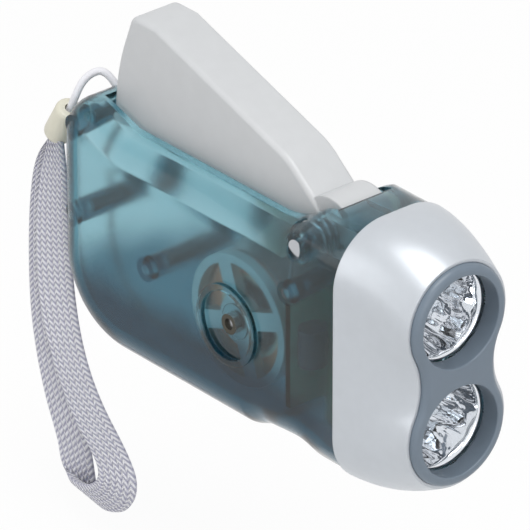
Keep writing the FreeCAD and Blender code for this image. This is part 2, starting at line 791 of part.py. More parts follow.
# Flywheel generator


def flywheel():
    """A spoked disc: a heavy rim, a hub and four spokes with windows between them."""
    rim = cylinder("flywheel_disc", "flywheel_radius", "flywheel_thick", "flywheel_x", "flywheel_y", "flywheel_z")
    window = cylinder("flywheel_window", "flywheel_radius - flywheel_rim", "2 * flywheel_thick",
                      "flywheel_x", "flywheel_y - flywheel_thick / 2", "flywheel_z")
    parts = [cut("flywheel_ring", rim, window),
             cylinder("flywheel_boss", "flywheel_hub", "flywheel_thick", "flywheel_x", "flywheel_y", "flywheel_z"),
             cylinder("flywheel_stub", "sleeve_radius", "magnet_y - flywheel_y", "flywheel_x", "flywheel_y",
                      "flywheel_z")]
    for index in range(2):
        spoke = doc.addObject("Part::Box", f"flywheel_spoke{index}")
        bind(spoke, Length="2 * flywheel_radius - flywheel_rim", Width="flywheel_thick", Height="spoke_width")
        angle = size("spoke_turn") + 90 * index
        turn = Rotation(Vector(0, -1, 0), angle)
        corner = turn.multVec(Vector(-(2 * size("flywheel_radius") - size("flywheel_rim")) / 2, 0,
                                     -size("spoke_width") / 2))
        place(spoke, f"flywheel_x + ({corner.x:.6f})", "flywheel_y", f"flywheel_z + ({corner.z:.6f})", turn)
        parts.append(spoke)
    axle_hole = cylinder("flywheel_bore", "axle_radius", "2 * half_width", "flywheel_x", "-half_width", "flywheel_z")
    return cut("flywheel_wheel", fuse("flywheel_solid", *parts), axle_hole)


def rotor_parts():
    node("flywheel", flywheel())
    magnet = cylinder("magnet_body", "magnet_radius", "magnet_thick", "flywheel_x", "magnet_y", "flywheel_z")
    bore = cylinder("magnet_bore", "axle_radius", "2 * half_width", "flywheel_x", "-half_width", "flywheel_z")
    node("rotor_magnet", cut("magnet_ring", magnet, bore))
    node("flywheel_axle", cylinder("rotor_axle", "axle_radius", "rotor_end_y - rotor_start_y",
                                   "flywheel_x", "rotor_start_y", "flywheel_z"))


def axle_bushes():
    """Two brass bushes, one in the right wall and one in the gear plate."""
    rings = []
    for index, (start, length) in enumerate((("-half_width", "half_width - bearing_boss_y"),
                                             ("core_rear_y", "plate_y + plate_thick - core_rear_y"))):
        outer = cylinder(f"bush{index}_outer", "bush_radius", length, "flywheel_x", start, "flywheel_z")
        inner = cylinder(f"bush{index}_inner", "axle_radius + running_gap", "half_width", "flywheel_x",
                         f"{start} - wall_thick", "flywheel_z")
        rings.append(cut(f"bush{index}", outer, inner))
    return compound("bushes", rings)


def compound(name, pieces):
    item = doc.addObject("Part::Compound", name)
    item.Links = list(pieces)
    return item


CORE_LENGTH = "(core_rear_y - core_wall - core_front_y)"


def stator_core():
    """A pressed cup round the magnet with claw fingers inside the coil."""
    back = cylinder("core_back", "core_outer", "core_wall", "flywheel_x", "core_rear_y - core_wall", "flywheel_z")
    wall = cylinder("core_side", "core_outer", "core_rear_y - core_front_y", "flywheel_x", "core_front_y",
                    "flywheel_z")
    inside = cylinder("core_inside", "core_outer - core_wall", "core_rear_y - core_front_y", "flywheel_x",
                      "core_front_y - core_wall", "flywheel_z")
    parts = [back, cut("core_cup", wall, inside)]
    ring = cut("core_sleeve",
               cylinder("core_sleeve_out", "core_inner + core_wall", "core_rear_y - core_front_y", "flywheel_x",
                        "core_front_y", "flywheel_z"),
               cylinder("core_sleeve_in", "core_inner", "half_width", "flywheel_x", "-half_width", "flywheel_z"))
    claws = []
    count = int(size("claw_count"))
    for index in range(count // 2):
        claw = doc.addObject("Part::Box", f"core_claw{index}")
        bind(claw, Length="4 * core_inner", Width="half_width", Height="claw_width")
        turn = Rotation(Vector(0, -1, 0), 360.0 * index / count)
        corner = turn.multVec(Vector(-2 * size("core_inner"), 0, -size("claw_width") / 2))
        place(claw, f"flywheel_x + ({corner.x:.6f})", "-half_width", f"flywheel_z + ({corner.z:.6f})", turn)
        claws.append(claw)
    parts.append(common("core_fingers", ring, fuse("core_claws", *claws)))
    hole = cylinder("core_hole", "bush_radius + running_gap", "half_width", "flywheel_x", "-half_width / 2",
                    "flywheel_z")
    return cut("core_pressing", fuse("core_solid", *parts), hole)


def coil_bobbin():
    """A thin sleeve with a rear flange that insulates the winding from the core."""
    sleeve = cylinder("bobbin_sleeve", "coil_inner", CORE_LENGTH, "flywheel_x", "core_front_y", "flywheel_z")
    flange = cylinder("bobbin_flange", "core_outer - core_wall", "core_wall", "flywheel_x",
                      "core_rear_y - 2 * core_wall", "flywheel_z")
    bore = cylinder("bobbin_bore", "core_inner + core_wall", "half_width", "flywheel_x", "-half_width", "flywheel_z")
    return cut("bobbin", fuse("bobbin_solid", sleeve, flange), bore)


def coil_winding():
    """The winding, varnished into one firm ring between the sleeve and the cup."""
    outer = cylinder("winding_outer", "coil_outer", f"{CORE_LENGTH} - core_wall", "flywheel_x", "core_front_y",
                     "flywheel_z")
    inner = cylinder("winding_inner", "coil_inner", "half_width", "flywheel_x", "-half_width", "flywheel_z")
    return cut("winding", outer, inner)


def biarc(start, out, end, into):
    """Two tangent arcs from one point and direction to another."""
    span = end - start
    both = out + into
    low = span.dot(both)
    reach = (-low + math.sqrt(low ** 2 + (4 - both.dot(both)) * span.dot(span))) / (4 - both.dot(both))
    first, second = start + out * reach, end - into * reach
    join = (first + second) * 0.5
    return [arc_through(start, first, join), arc_through(join, second, end)]


def arc_through(start, corner, end):
    """The arc that touches both legs of a corner with equal sides."""
    middle = (start + end) * 0.5
    half = math.atan2((corner - middle).Length, (end - start).Length / 2)
    crest = middle + (corner - middle) * (math.tan(half / 2) / math.tan(half))
    return Part.Arc(start, crest, end).toShape()


def helix_edges(radius, pitch, turns, start_angle, turnwise=1):
    """Quarter turns of a helix about the Y axis, from Y = 0, as tangent arcs."""
    quarters = int(round(4 * turns))
    edges = []
    climb = pitch / (2 * math.pi)

    def station(k):
        angle = start_angle + turnwise * k * math.pi / 2
        point = Vector(radius * math.cos(angle), climb * k * math.pi / 2, radius * math.sin(angle))
        way = Vector(-turnwise * radius * math.sin(angle), climb, turnwise * radius * math.cos(angle))
        return point, way.normalize()

    for k in range(quarters):
        start, out = station(k)
        end, into = station(k + 1)
        edges += biarc(start, out, end, into)
    return edges, station(0), station(quarters)


def wound_tube(edges, radius, start, way, sides):
    """A wire along tangent edges, as round as its count of sides makes it."""
    across = way.cross(Vector(0, 1, 0)).normalize()
    up = across.cross(way)
    turns = [2 * math.pi * k / sides for k in range(sides)]
    corners = [start + across * (radius * math.cos(turn)) + up * (radius * math.sin(turn)) for turn in turns]
    return Part.Wire(edges).makePipeShell([Part.makePolygon(corners + corners[:1])], True, False)


def least_gap(edges, radius, reach):
    """The least space between parts of a wire that lie more than a reach apart along it."""
    points = []
    for edge in edges:
        points += edge.discretize(8)[:-1]
    travelled = [0.0]
    for a, b in zip(points, points[1:]):
        travelled.append(travelled[-1] + (b - a).Length)
    least = min((points[i] - points[j]).Length
                for i in range(len(points)) for j in range(i + 1, len(points))
                if travelled[j] - travelled[i] > reach)
    return least - 2 * radius


def spring_helix():
    """The lever spring's coils with the direction of both ends."""
    turns = size("spring_turns") + 0.25
    return helix_edges(size("spring_radius"), size("spring_pitch"), turns, math.radians(size("spring_start")), -1)


def spring_hook():
    """Where the spring's inner leg enters the lever's hub, from the pivot."""
    end, way = spring_helix()[2]
    return end + way * size("spring_bend")


def lever_spring():
    """A torsion spring round the right pivot boss: one leg in the lever's hub, one against the front boss."""
    wire, bend = size("spring_wire"), size("spring_bend")
    edges, (start, out), (end, into) = spring_helix()
    gap = least_gap(edges, wire, math.pi * size("spring_radius"))
    print(f"lever spring: least gap to itself {gap:.2f} mm")
    foot = start - out * size("spring_arm")
    corner = end + into * bend
    rise = corner + Vector(0, bend, 0)
    path = [Part.makeLine(foot, start)] + edges
    path.append(arc_through(end, corner, rise))
    path.append(Part.makeLine(rise, rise + Vector(0, size("spring_leg"), 0)))
    return wound_tube(path, wire, foot, out, 8)


# Head and lamps


def waist_radius(lobe, waist):
    """The waist arc that is tangent to both lamp lobes."""
    half = size("lamp_spacing") / 2
    return (waist ** 2 + half ** 2 - lobe ** 2) / (2 * (lobe - waist))


QUARTERS = ((1, 1), (-1, 1), (-1, -1), (1, -1))
HEAD_BANDS = 6


def head_stations(bands):
    """Middles of the corner arcs, from the rear rim to the lamp lobes; top and bottom bulge between them."""
    rear_y, rear_z = (size(alias) - size("shell_front_radius") for alias in ("head_half_width", "head_half_height"))
    front_z = size("lamp_spacing") / 2
    middles = []
    for k in range(bands + 1):
        t = k / bands
        bulge = 4 * size("head_bulge") * t * (1 - t)
        middles.append(Vector(size("rim_x") + (size("head_front_x") - size("rim_x")) * t, rear_y * (1 - t),
                              rear_z + (front_z - rear_z) * t + bulge))
    return middles


def corner_arc(middle, radius, side, rise):
    """One corner of a station, from its side to its top or bottom."""
    def point(y, z):
        return Vector(middle.x, side * (middle.y + y * radius), rise * (middle.z + z * radius))

    slant = math.sqrt(0.5)
    return Part.Arc(point(1, 0), point(slant, slant), point(0, 1)).toShape()


def station_ring(middle, radius):
    """A rounded rectangle across the head; its top and bottom flats may have no width."""
    edges = []
    for side, rise in QUARTERS:
        edges.append(corner_arc(middle, radius, side, rise))
        if rise > 0:
            edges.append(Part.makeLine(Vector(middle.x, side * (middle.y + radius), -middle.z),
                                       Vector(middle.x, side * (middle.y + radius), middle.z)))
        if side > 0 and middle.y > 1e-6:
            edges.append(Part.makeLine(Vector(middle.x, -middle.y, rise * (middle.z + radius)),
                                       Vector(middle.x, middle.y, rise * (middle.z + radius))))
    return Part.sortEdges(edges)[0]


def head_flare(inset, bands):
    """The flare from the rear rim to the two lobes: slanted bands with one corner radius."""
    radius = size("shell_front_radius") - inset
    middles = head_stations(bands)
    faces = [Part.Face(Part.Wire(station_ring(middle, radius))) for middle in (middles[0], middles[-1])]
    for near, far in zip(middles, middles[1:]):
        for side, rise in QUARTERS:
            way = Vector(far.x - near.x, side * (far.y - near.y), rise * (far.z - near.z))
            faces.append(corner_arc(near, radius, side, rise).extrude(way))
        for sign in (1, -1):
            flank = [Vector(m.x, sign * (m.y + radius), z * m.z) for m, z in ((near, -1), (near, 1), (far, 1), (far, -1))]
            roof = [Vector(near.x, -near.y, sign * (near.z + radius)), Vector(near.x, near.y, sign * (near.z + radius)),
                    Vector(far.x, far.y, sign * (far.z + radius))]
            if far.y > 1e-6:
                roof.append(Vector(far.x, -far.y, sign * (far.z + radius)))
            faces += [Part.Face(Part.makePolygon(corners + corners[:1])) for corners in (flank, roof)]
    skin = Part.Shell(faces)
    skin.sewShape()
    return closed_solid(skin)


def eight_points(lobe, waist):
    """Where a lamp lobe meets the waist arc that is tangent to it."""
    half = size("lamp_spacing") / 2
    reach = waist + waist_radius(lobe, waist)
    apart = math.hypot(reach, half)
    return lobe * reach / apart, half - lobe * half / apart


def waist_cone(side):
    """The trough between the lobes on one side: a cone whose point lies on the flat flank near the rim."""
    lobe, waist = size("shell_front_radius"), size("shell_waist")
    half, front = size("lamp_spacing") / 2, size("head_front_x")
    join_y, join_z = eight_points(lobe, waist)
    turn = math.atan2(half - join_z, join_y) / 2
    crest_y, crest_z = lobe * math.cos(turn), half - lobe * math.sin(turn)
    share = size("waist_start") / (front - size("rim_x"))
    point = Vector(size("rim_x") + size("waist_start"),
                   side * (size("head_half_width") * (1 - share) + lobe * share), 0)
    corners = [Vector(front, side * y, z) for y, z in (
        (lobe, half), (crest_y, crest_z), (join_y, join_z), (waist, 0), (join_y, -join_z), (crest_y, -crest_z),
        (lobe, -half))]
    arcs = [Part.Arc(*corners[k:k + 3]).toShape() for k in (0, 2, 4)]
    outside = [corners[-1], Vector(front, side * 2 * lobe, -half), Vector(front, side * 2 * lobe, half), corners[0]]
    mouth = Part.Wire(arcs + [Part.makeLine(a, b) for a, b in zip(outside, outside[1:])])
    rings = [mouth.scaled(share, point) for share in (0.2, 0.4, 0.6, 0.8, 1.1)]
    return Part.makeLoft([Part.Vertex(point)] + rings, True, True)


def waist_rib(side):
    """What keeps the wall behind the trough: a slanted cylinder that leaves the hollow narrower there."""
    waist = size("shell_waist") - size("head_wall")
    radius = waist_radius(size("shell_front_radius"), size("shell_waist")) + size("head_wall")
    near = Vector(size("rim_x"), side * (size("head_half_width") + radius), 0)
    far = Vector(size("head_front_x"), side * (waist + radius), 0)
    way = far - near
    return Part.makeCylinder(radius, 1.2 * way.Length, near - way * 0.1, way)


def head_hollow():
    hollow = head_flare(size("head_wall"), HEAD_BANDS)
    for side in (1, -1):
        hollow = hollow.cut(waist_rib(side))
    return hollow


def head_outside():
    form = head_flare(0, HEAD_BANDS)
    for side in (1, -1):
        form = form.cut(waist_cone(side))
    return form


def eight_prism(name, lobe, waist, start, end):
    """A figure-eight block along X, its four arcs tangent to each other."""
    half = size("lamp_spacing") / 2
    join_y, join_z = eight_points(lobe, waist)
    corners = [Vector(start, join_y, -join_z), Vector(start, waist, 0), Vector(start, join_y, join_z),
               Vector(start, 0, half + lobe), Vector(start, -join_y, join_z), Vector(start, -waist, 0),
               Vector(start, -join_y, -join_z), Vector(start, 0, -half - lobe), Vector(start, join_y, -join_z)]
    arcs = [Part.Arc(*corners[k:k + 3]).toShape() for k in (0, 2, 4, 6)]
    return solid(name, Part.Face(Part.Wire(arcs)).extrude(Vector(end - start, 0, 0)))


REFLECTOR_FACETS = 16
LAMPS = (("upper", "lamp_spacing / 2"), ("lower", "-lamp_spacing / 2"))


def head_shell():
    shell = solid("head_skin", head_outside().cut(head_hollow()))
    seat = eight_prism("head_seat", size("bezel_radius"), size("waist_half"), size("bezel_rear_x"), size("front_x"))
    return cut("head_part", shell, seat)


def face_bezel():
    plate = eight_prism("bezel_plate", size("bezel_radius"), size("waist_half"), size("bezel_rear_x"),
                        size("front_x"))
    cuts = []
    for name, z in LAMPS:
        cuts.append(cylinder(f"{name}_well", "well_radius", "2 * well_depth", "front_x - well_depth", 0, z, ALONG_X))
        cuts.append(cylinder(f"{name}_window_seat", "window_radius", "front_x - well_depth - bezel_rear_x + side_gap / 9",
                             "bezel_rear_x - side_gap / 9", 0, z, ALONG_X))
    return cut("bezel_part", plate, *cuts)


def faceted_bowl(wall, z):
    """A bowl of flat facets from the neck round a diode to the mouth."""
    neck, mouth = size("reflector_neck") + wall, size("reflector_mouth") + wall
    rear, front = size("reflector_rear_x"), size("bezel_rear_x")
    turns = [2 * math.pi * k / REFLECTOR_FACETS for k in range(REFLECTOR_FACETS)]
    rings = []
    for along, out in ((0, 0), (0.25, 0.56), (0.6, 0.86), (1, 1)):
        radius = neck + out * (mouth - neck)
        rings.append([Vector(rear + (front - rear) * along, radius * math.cos(turn), z + radius * math.sin(turn))
                      for turn in turns])
    faces = [polygon_face(rings[0]), polygon_face(rings[-1])]
    for near, far in zip(rings, rings[1:]):
        for k in range(REFLECTOR_FACETS):
            faces.append(polygon_face([near[k - 1], near[k], far[k], far[k - 1]]))
    skin = Part.Shell(faces)
    skin.sewShape()
    return closed_solid(skin)


def lamps():
    """Window, reflector and diode of each lamp."""
    for (name, z), side in zip(LAMPS, (1, -1)):
        window = cylinder(f"{name}_pane", "window_radius", "window_thick", "bezel_rear_x", 0, z, ALONG_X)
        node(f"{name}_window", window)
        flange = cylinder(f"{name}_flange", "reflector_mouth + 2 * reflector_wall - reflector_lip", "reflector_flange",
                          "bezel_rear_x - reflector_flange", 0, z, ALONG_X)
        outer = solid(f"{name}_cup_skin", faceted_bowl(size("reflector_wall"), side * size("lamp_spacing") / 2))
        inner = solid(f"{name}_bowl", faceted_bowl(0, side * size("lamp_spacing") / 2))
        node(f"{name}_reflector", cut(f"{name}_dish", fuse(f"{name}_cup", flange, outer), inner))
        base = cylinder(f"{name}_diode_foot", "led_base_radius", "led_foot", "led_board_x + board_thick", 0, z, ALONG_X)
        stem = cylinder(f"{name}_diode_stem", "led_radius", "led_tip_x - led_dome - led_board_x - board_thick",
                        "led_board_x + board_thick", 0, z, ALONG_X)
        dome = cone(f"{name}_diode_dome", "led_radius", "led_radius / 2", "led_dome", "led_tip_x - led_dome", 0, z,
                    ALONG_X)
        node(f"{name}_led", fuse(f"{name}_diode", base, stem, dome))


def boards():
    """Lamp board, main board with its parts, and the cell stack between the two."""
    node("led_board", block("lamp_board", "led_board_x", "-led_board_half_width", "-led_board_half_height",
                            "board_thick", "2 * led_board_half_width", "2 * led_board_half_height"))
    node("main_board", block("logic_board", "main_board_x", "wall_thick - half_width", "main_board_low_z",
                             "board_thick", "2 * half_width - 2 * wall_thick",
                             "main_board_high_z - main_board_low_z"))
    node("rechargeable_cell", cylinder("cell_stack", "cell_radius", "cell_length", "led_board_x - cell_radius", 0,
                                       "cell_z - cell_length / 2", UPRIGHT))
    diodes = [cylinder(f"diode{index}", "diode_radius", "diode_length", "main_board_x + board_thick + diode_radius",
                       "diode_y", f"main_board_low_z + diode_pitch * {index + 1}") for index in range(4)]
    node("rectifier_diodes", compound("diodes", diodes))
    node("smoothing_capacitor", cylinder("capacitor_can", "capacitor_radius", "capacitor_length",
                                         "main_board_x + board_thick + capacitor_radius", "capacitor_y",
                                         "capacitor_z", UPRIGHT))


# Fasteners


def screw(name, x, z, radius, start, head_radius, seat, head_y, head_length):
    shank = cylinder(f"{name}_shank", radius, f"{seat} - ({start})", x, start, z)
    head = cylinder(f"{name}_head", head_radius, head_length, x, head_y, z)
    return fuse(name, shank, head)


def fasteners():
    screws = [screw(f"screw{index}", x, z, "screw_radius", "screw_end_y", "screw_head_radius", "screw_seat_y",
                    "screw_seat_y", "screw_head_thick") for index, (x, z) in enumerate(BOSSES)]
    node("housing_screws", compound("screws", screws))
    screws = [screw(f"plate_screw{index}", x, z, "plate_screw_radius", "plate_y", "post_radius - side_gap",
                    "plate_y + plate_thick + plate_screw_length - side_gap", "plate_y - plate_thick", "plate_thick")
              for index, (x, z) in enumerate(POSTS)]
    node("plate_screws", compound("plate_screw_pair", screws))
    node("lever_pivot_pin", cylinder("pivot_pin", "pin_radius", "2 * pin_half", "pivot_x", "-pin_half", "pivot_z"))


# Wrist strap

# Middle of the tape and half its width as a vector, down the front strand, round the heel and up again.
STRAP_ROUTE = (
    ((-43.3, -7.62, 10.9), (1.2, 0.0, 0.4)), ((-43.2, -8.0, 4.7), (3.1, 0.0, 0.8)),
    ((-43.8, -8.1, -3.4), (4.2, 0.0, 1.2)), ((-43.8, -8.1, -12.2), (4.8, 0.0, 1.5)),
    ((-43.2, -8.1, -20.6), (4.9, 0.0, 1.8)), ((-41.9, -8.1, -27.0), (4.8, 0.0, 1.7)),
    ((-39.9, -8.1, -32.8), (4.6, 0.0, 1.7)), ((-37.3, -8.1, -37.8), (4.6, 0.0, 1.7)),
    ((-34.3, -8.1, -42.0), (4.8, 0.0, 1.8)), ((-31.2, -8.1, -45.2), (5.0, 0.0, 1.8)),
    ((-28.3, -8.1, -48.2), (5.0, 0.0, 1.6)), ((-26.4, -8.1, -51.2), (5.0, 0.2, 0.9)),
    ((-27.2, -7.9, -54.8), (4.0, 1.0, -0.8)), ((-30.6, -7.3, -58.2), (1.8, 2.4, -2.9)),
    ((-35.4, -6.5, -60.2), (1.1, 2.6, -3.2)), ((-39.3, -5.8, -59.8), (2.9, 1.4, -1.8)),
    ((-41.0, -5.4, -57.0), (4.4, 0.3, -0.3)), ((-41.7, -5.3, -53.8), (4.7, 0.0, 0.3)),
    ((-42.9, -5.3, -50.4), (4.8, 0.0, 0.5)), ((-44.8, -5.3, -46.2), (4.8, 0.0, 0.7)),
    ((-46.4, -5.3, -41.4), (4.7, 0.0, 0.9)), ((-47.7, -5.3, -36.4), (4.7, 0.0, 1.2)),
    ((-48.9, -5.3, -28.9), (4.8, 0.0, 1.6)), ((-49.3, -5.3, -20.8), (4.8, 0.0, 1.7)),
    ((-49.3, -5.3, -13.0), (4.7, 0.0, 1.7)), ((-49.1, -5.3, -5.6), (4.4, 0.0, 1.6)),
    ((-48.6, -5.3, 1.6), (3.6, 0.0, 1.3)), ((-46.6, -5.5, 6.6), (2.4, 0.0, 0.9)),
    ((-43.3, -5.78, 10.9), (1.2, 0.0, 0.4)),
)


def strap_frame(index):
    """Middle, half width and half thickness of the tape at one station."""
    middle, half = (Vector(*part) for part in STRAP_ROUTE[index])
    before = Vector(*STRAP_ROUTE[max(index - 1, 0)][0])
    after = Vector(*STRAP_ROUTE[min(index + 1, len(STRAP_ROUTE) - 1)][0])
    depth = (after - before).cross(half).normalize() * (size("tape_thick") / 2)
    return middle, half, depth


def polygon_face(points):
    return Part.Face(Part.makePolygon(points + points[:1]))


def closed_solid(skin):
    """A solid with its outside facing out."""
    body = Part.Solid(skin)
    if body.Volume < 0:
        body.reverse()
    return body


def wrist_strap():
    rings = []
    for index in range(len(STRAP_ROUTE)):
        middle, half, depth = strap_frame(index)
        rings.append([middle + half + depth, middle - half + depth, middle - half - depth, middle + half - depth])
    faces = [polygon_face(rings[0]), polygon_face(rings[-1])]
    for near, far in zip(rings, rings[1:]):
        for k in range(4):
            a, b, c, d = near[k], near[(k + 1) % 4], far[(k + 1) % 4], far[k]
            faces += [polygon_face([a, b, c]), polygon_face([a, c, d])]
    skin = Part.Shell(faces)
    skin.sewShape()
    length = sum((Vector(*b[0]) - Vector(*a[0])).Length for a, b in zip(STRAP_ROUTE, STRAP_ROUTE[1:]))
    print(f"wrist strap: {length:.1f} mm along its middle")
    return closed_solid(skin)


def ferrule_ends():
    """Top and bottom of the crimped ferrule, in the leaning direction of the strap."""
    top = Vector(size("ferrule_x"), size("ferrule_y"), size("ferrule_z"))
    lean = math.radians(size("ferrule_lean"))
    way = Vector(-math.sin(lean), 0, -math.cos(lean))
    return top, way


def round_path(points, shares=0.45):
    """Straight runs joined by tangent arcs."""
    edges = []
    at = points[0]
    for before, corner, after in zip(points, points[1:], points[2:]):
        out, into = (corner - before).normalize(), (after - corner).normalize()
        leg = shares * min((corner - before).Length, (after - corner).Length)
        start, end = corner - out * leg, corner + into * leg
        edges.append(Part.makeLine(at, start))
        edges.append(arc_through(start, corner, end))
        bend = leg / math.tan(math.acos(max(-1, min(1, out.dot(into)))) / 2)
        print(f"tether: bend radius {bend:.1f} mm")
        at = end
    edges.append(Part.makeLine(at, points[-1]))
    return edges


def strap_tether():
    """The round cord from inside the housing's rear top to the ferrule."""
    top, way = ferrule_ends()
    start = Vector(size("tether_x"), 0, size("tether_z"))
    rise = Vector(-0.6, 0, 0.8)
    points = [start, start + rise * 6.2, Vector(-40.4, -3.4, 21.4), top, top + way * 3.0]
    edges = round_path(points)
    return wound_tube(edges, size("tether_radius"), start, rise, 12)


def strap_pieces():
    tape = wrist_strap()
    cord = strap_tether()
    top, way = ferrule_ends()
    barrel = Part.makeCylinder(size("ferrule_radius"), size("ferrule_length"), top, way)
    node("wrist_strap", solid("tape", tape))
    node("strap_tether", solid("tether", cord))
    node("strap_ferrule", solid("ferrule", barrel.cut(tape).cut(cord)))


# Assembly

write_axle_centres()
node("right_housing", right_housing())
node("left_housing", left_housing())
node("head_shell", head_shell())
node("face_bezel", face_bezel())
lamps()
boards()
node("lever", lever())
gear_train()
node("gear_plate", gear_plate())
rotor_parts()
node("axle_bushes", axle_bushes())
node("stator_core", stator_core())
node("coil_bobbin", coil_bobbin())
node("coil_winding", coil_winding())
node("lever_spring", place_shape("torsion_spring", lever_spring(), "pivot_x", "pivot_z", "spring_y"))
fasteners()
strap_pieces()
doc.recompute()

for item in doc.Objects:
    if "Invalid" in item.State or "Error" in item.State:
        raise ValueError(f"{item.Name} ({item.Label}) failed: {item.State}")
os.makedirs("parts", exist_ok=True)
for item in NODES:
    if item.Shape.isNull() or not item.Shape.isValid():
        raise ValueError(f"{item.Label} has no valid shape")
    item.Shape.exportStep(f"parts/{item.Label}.step")
print(f"{len(NODES)} nodes written")
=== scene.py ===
import json
import math
import bpy
import bmesh
from mathutils import Matrix, Vector, noise


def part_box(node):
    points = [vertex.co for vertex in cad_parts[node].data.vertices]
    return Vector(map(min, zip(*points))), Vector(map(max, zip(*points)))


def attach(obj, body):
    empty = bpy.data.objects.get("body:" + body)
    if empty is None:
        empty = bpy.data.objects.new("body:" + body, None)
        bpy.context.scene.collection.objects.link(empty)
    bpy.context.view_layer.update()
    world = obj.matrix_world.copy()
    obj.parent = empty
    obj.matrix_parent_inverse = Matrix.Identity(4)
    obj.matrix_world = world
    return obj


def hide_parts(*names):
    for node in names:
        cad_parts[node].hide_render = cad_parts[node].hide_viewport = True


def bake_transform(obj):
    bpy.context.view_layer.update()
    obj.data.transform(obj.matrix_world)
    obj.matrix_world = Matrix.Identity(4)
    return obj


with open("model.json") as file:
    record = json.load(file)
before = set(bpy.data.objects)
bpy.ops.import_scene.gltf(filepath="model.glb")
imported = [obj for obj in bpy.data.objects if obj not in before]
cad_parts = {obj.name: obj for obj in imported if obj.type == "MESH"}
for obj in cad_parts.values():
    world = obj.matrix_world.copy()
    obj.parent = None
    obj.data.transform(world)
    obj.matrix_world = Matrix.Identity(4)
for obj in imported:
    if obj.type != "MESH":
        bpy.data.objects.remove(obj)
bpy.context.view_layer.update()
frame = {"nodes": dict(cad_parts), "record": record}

MM = 0.001
JOIN_DISTANCE = 2e-6
SPIN_JOIN_DISTANCE = 1e-7
scene = bpy.context.scene
scene.view_settings.view_transform = "Standard"


# Camera: a long lens from far away, at the photograph's viewing angle

AZIMUTH, ELEVATION = math.radians(49.4), math.radians(28.3)
DISTANCE, FOCAL_MM, SENSOR_MM, FAR_CLIP = 1.5, 590.5, 36.0, 20.0
TARGET = Vector((4.1, 0.0, 0.7)) * MM
back = Vector((math.sin(AZIMUTH) * math.cos(ELEVATION), -math.cos(AZIMUTH) * math.cos(ELEVATION),
               math.sin(ELEVATION)))
lens = bpy.data.cameras.new("camera")
lens.sensor_fit = "HORIZONTAL"
lens.sensor_width = SENSOR_MM
lens.lens = FOCAL_MM
lens.clip_end = FAR_CLIP
camera = bpy.data.objects.new("camera", lens)
scene.collection.objects.link(camera)
camera.location = TARGET + back * DISTANCE
camera.rotation_euler = back.to_track_quat("Z", "Y").to_euler()
scene.camera = camera


# Materials: what every finish uses

EDGE_SAMPLES, GRAIN_DETAIL, PATCH_DETAIL = 6, 3.0, 2.0
DRIFT_GRAINS, DRIFT_STOPS = 14, ((0.3, 0.985), (0.7, 1.01))
CLOUD_FROM, CLOUD_FULL = 0.35, 0.65


def linear(code):
    """An sRGB hex colour as the linear colour that the shaders take."""
    parts = [int(code[k:k + 2], 16) / 255 for k in (0, 2, 4)]
    return [c / 12.92 if c <= 0.04045 else ((c + 0.055) / 1.055) ** 2.4 for c in parts] + [1.0]


def add(material, kind, inputs, **settings):
    """A node with its settings; an input is a number, a colour or a pair of node and output."""
    item = material.node_tree.nodes.new(kind)
    for name, value in settings.items():
        setattr(item, name, value)
    for socket, value in inputs.items():
        if isinstance(value, tuple) and isinstance(value[0], bpy.types.Node):
            material.node_tree.links.new(value[0].outputs[value[1]], item.inputs[socket])
        else:
            item.inputs[socket].default_value = value
    return item


def finish(name, colour, roughness, **inputs):
    """A named finish with its even values on the shader's own sockets."""
    material = bpy.data.materials.new(name)
    material.use_nodes = True
    shader = material.node_tree.nodes["Principled BSDF"]
    shader.inputs["Base Color"].default_value = linear(colour)
    shader.inputs["Roughness"].default_value = roughness
    for label, value in inputs.items():
        shader.inputs[label.replace("_", " ")].default_value = value
    return material


def feed(material, socket, node):
    """Links a node's first output to one of the shader's sockets."""
    shader = material.node_tree.nodes["Principled BSDF"]
    material.node_tree.links.new(node.outputs[0], shader.inputs[socket])


def set_stops(ramp, *stops):
    """Gives a colour ramp's two stops their positions and linear colours."""
    for element, (position, colour) in zip(ramp.color_ramp.elements, stops):
        element.position = position
        element.color = colour


def grained(material, grain, depth, edge=0.0):
    """Grain of a width and depth in millimetres, edges eased by a radius, and a faint drift of colour."""
    place = add(material, "ShaderNodeTexCoord", {})
    speck = add(material, "ShaderNodeTexNoise", {"Scale": 1000.0 / grain, "Detail": GRAIN_DETAIL,
                                                 "Vector": (place, "Object")})
    inputs = {"Strength": 1.0, "Distance": depth * MM, "Height": (speck, 0)}
    if edge:
        eased = add(material, "ShaderNodeBevel", {"Radius": edge * MM}, samples=EDGE_SAMPLES)
        inputs["Normal"] = (eased, 0)
    bump = add(material, "ShaderNodeBump", inputs)
    feed(material, "Normal", bump)
    base = material.node_tree.nodes["Principled BSDF"].inputs["Base Color"].default_value[:3]
    drift = add(material, "ShaderNodeTexNoise", {"Scale": 1000.0 / (DRIFT_GRAINS * grain),
                                                 "Detail": PATCH_DETAIL, "Vector": (place, "Object")})
    ramp = add(material, "ShaderNodeValToRGB", {0: (drift, 0)})
    set_stops(ramp, *((position, [min(1.0, part * gain) for part in base] + [1.0])
                      for position, gain in DRIFT_STOPS))
    feed(material, "Base Color", ramp)
    return material


def clouded(material, first, second, patch):
    """Slow change between two near colours, in patches of one size in millimetres."""
    place = add(material, "ShaderNodeTexCoord", {})
    cloud = add(material, "ShaderNodeTexNoise", {"Scale": 1000.0 / patch, "Detail": PATCH_DETAIL,
                                                 "Vector": (place, "Object")})
    ramp = add(material, "ShaderNodeValToRGB", {0: (cloud, 0)})
    set_stops(ramp, (CLOUD_FROM, linear(first)), (CLOUD_FULL, linear(second)))
    feed(material, "Base Color", ramp)
    return material
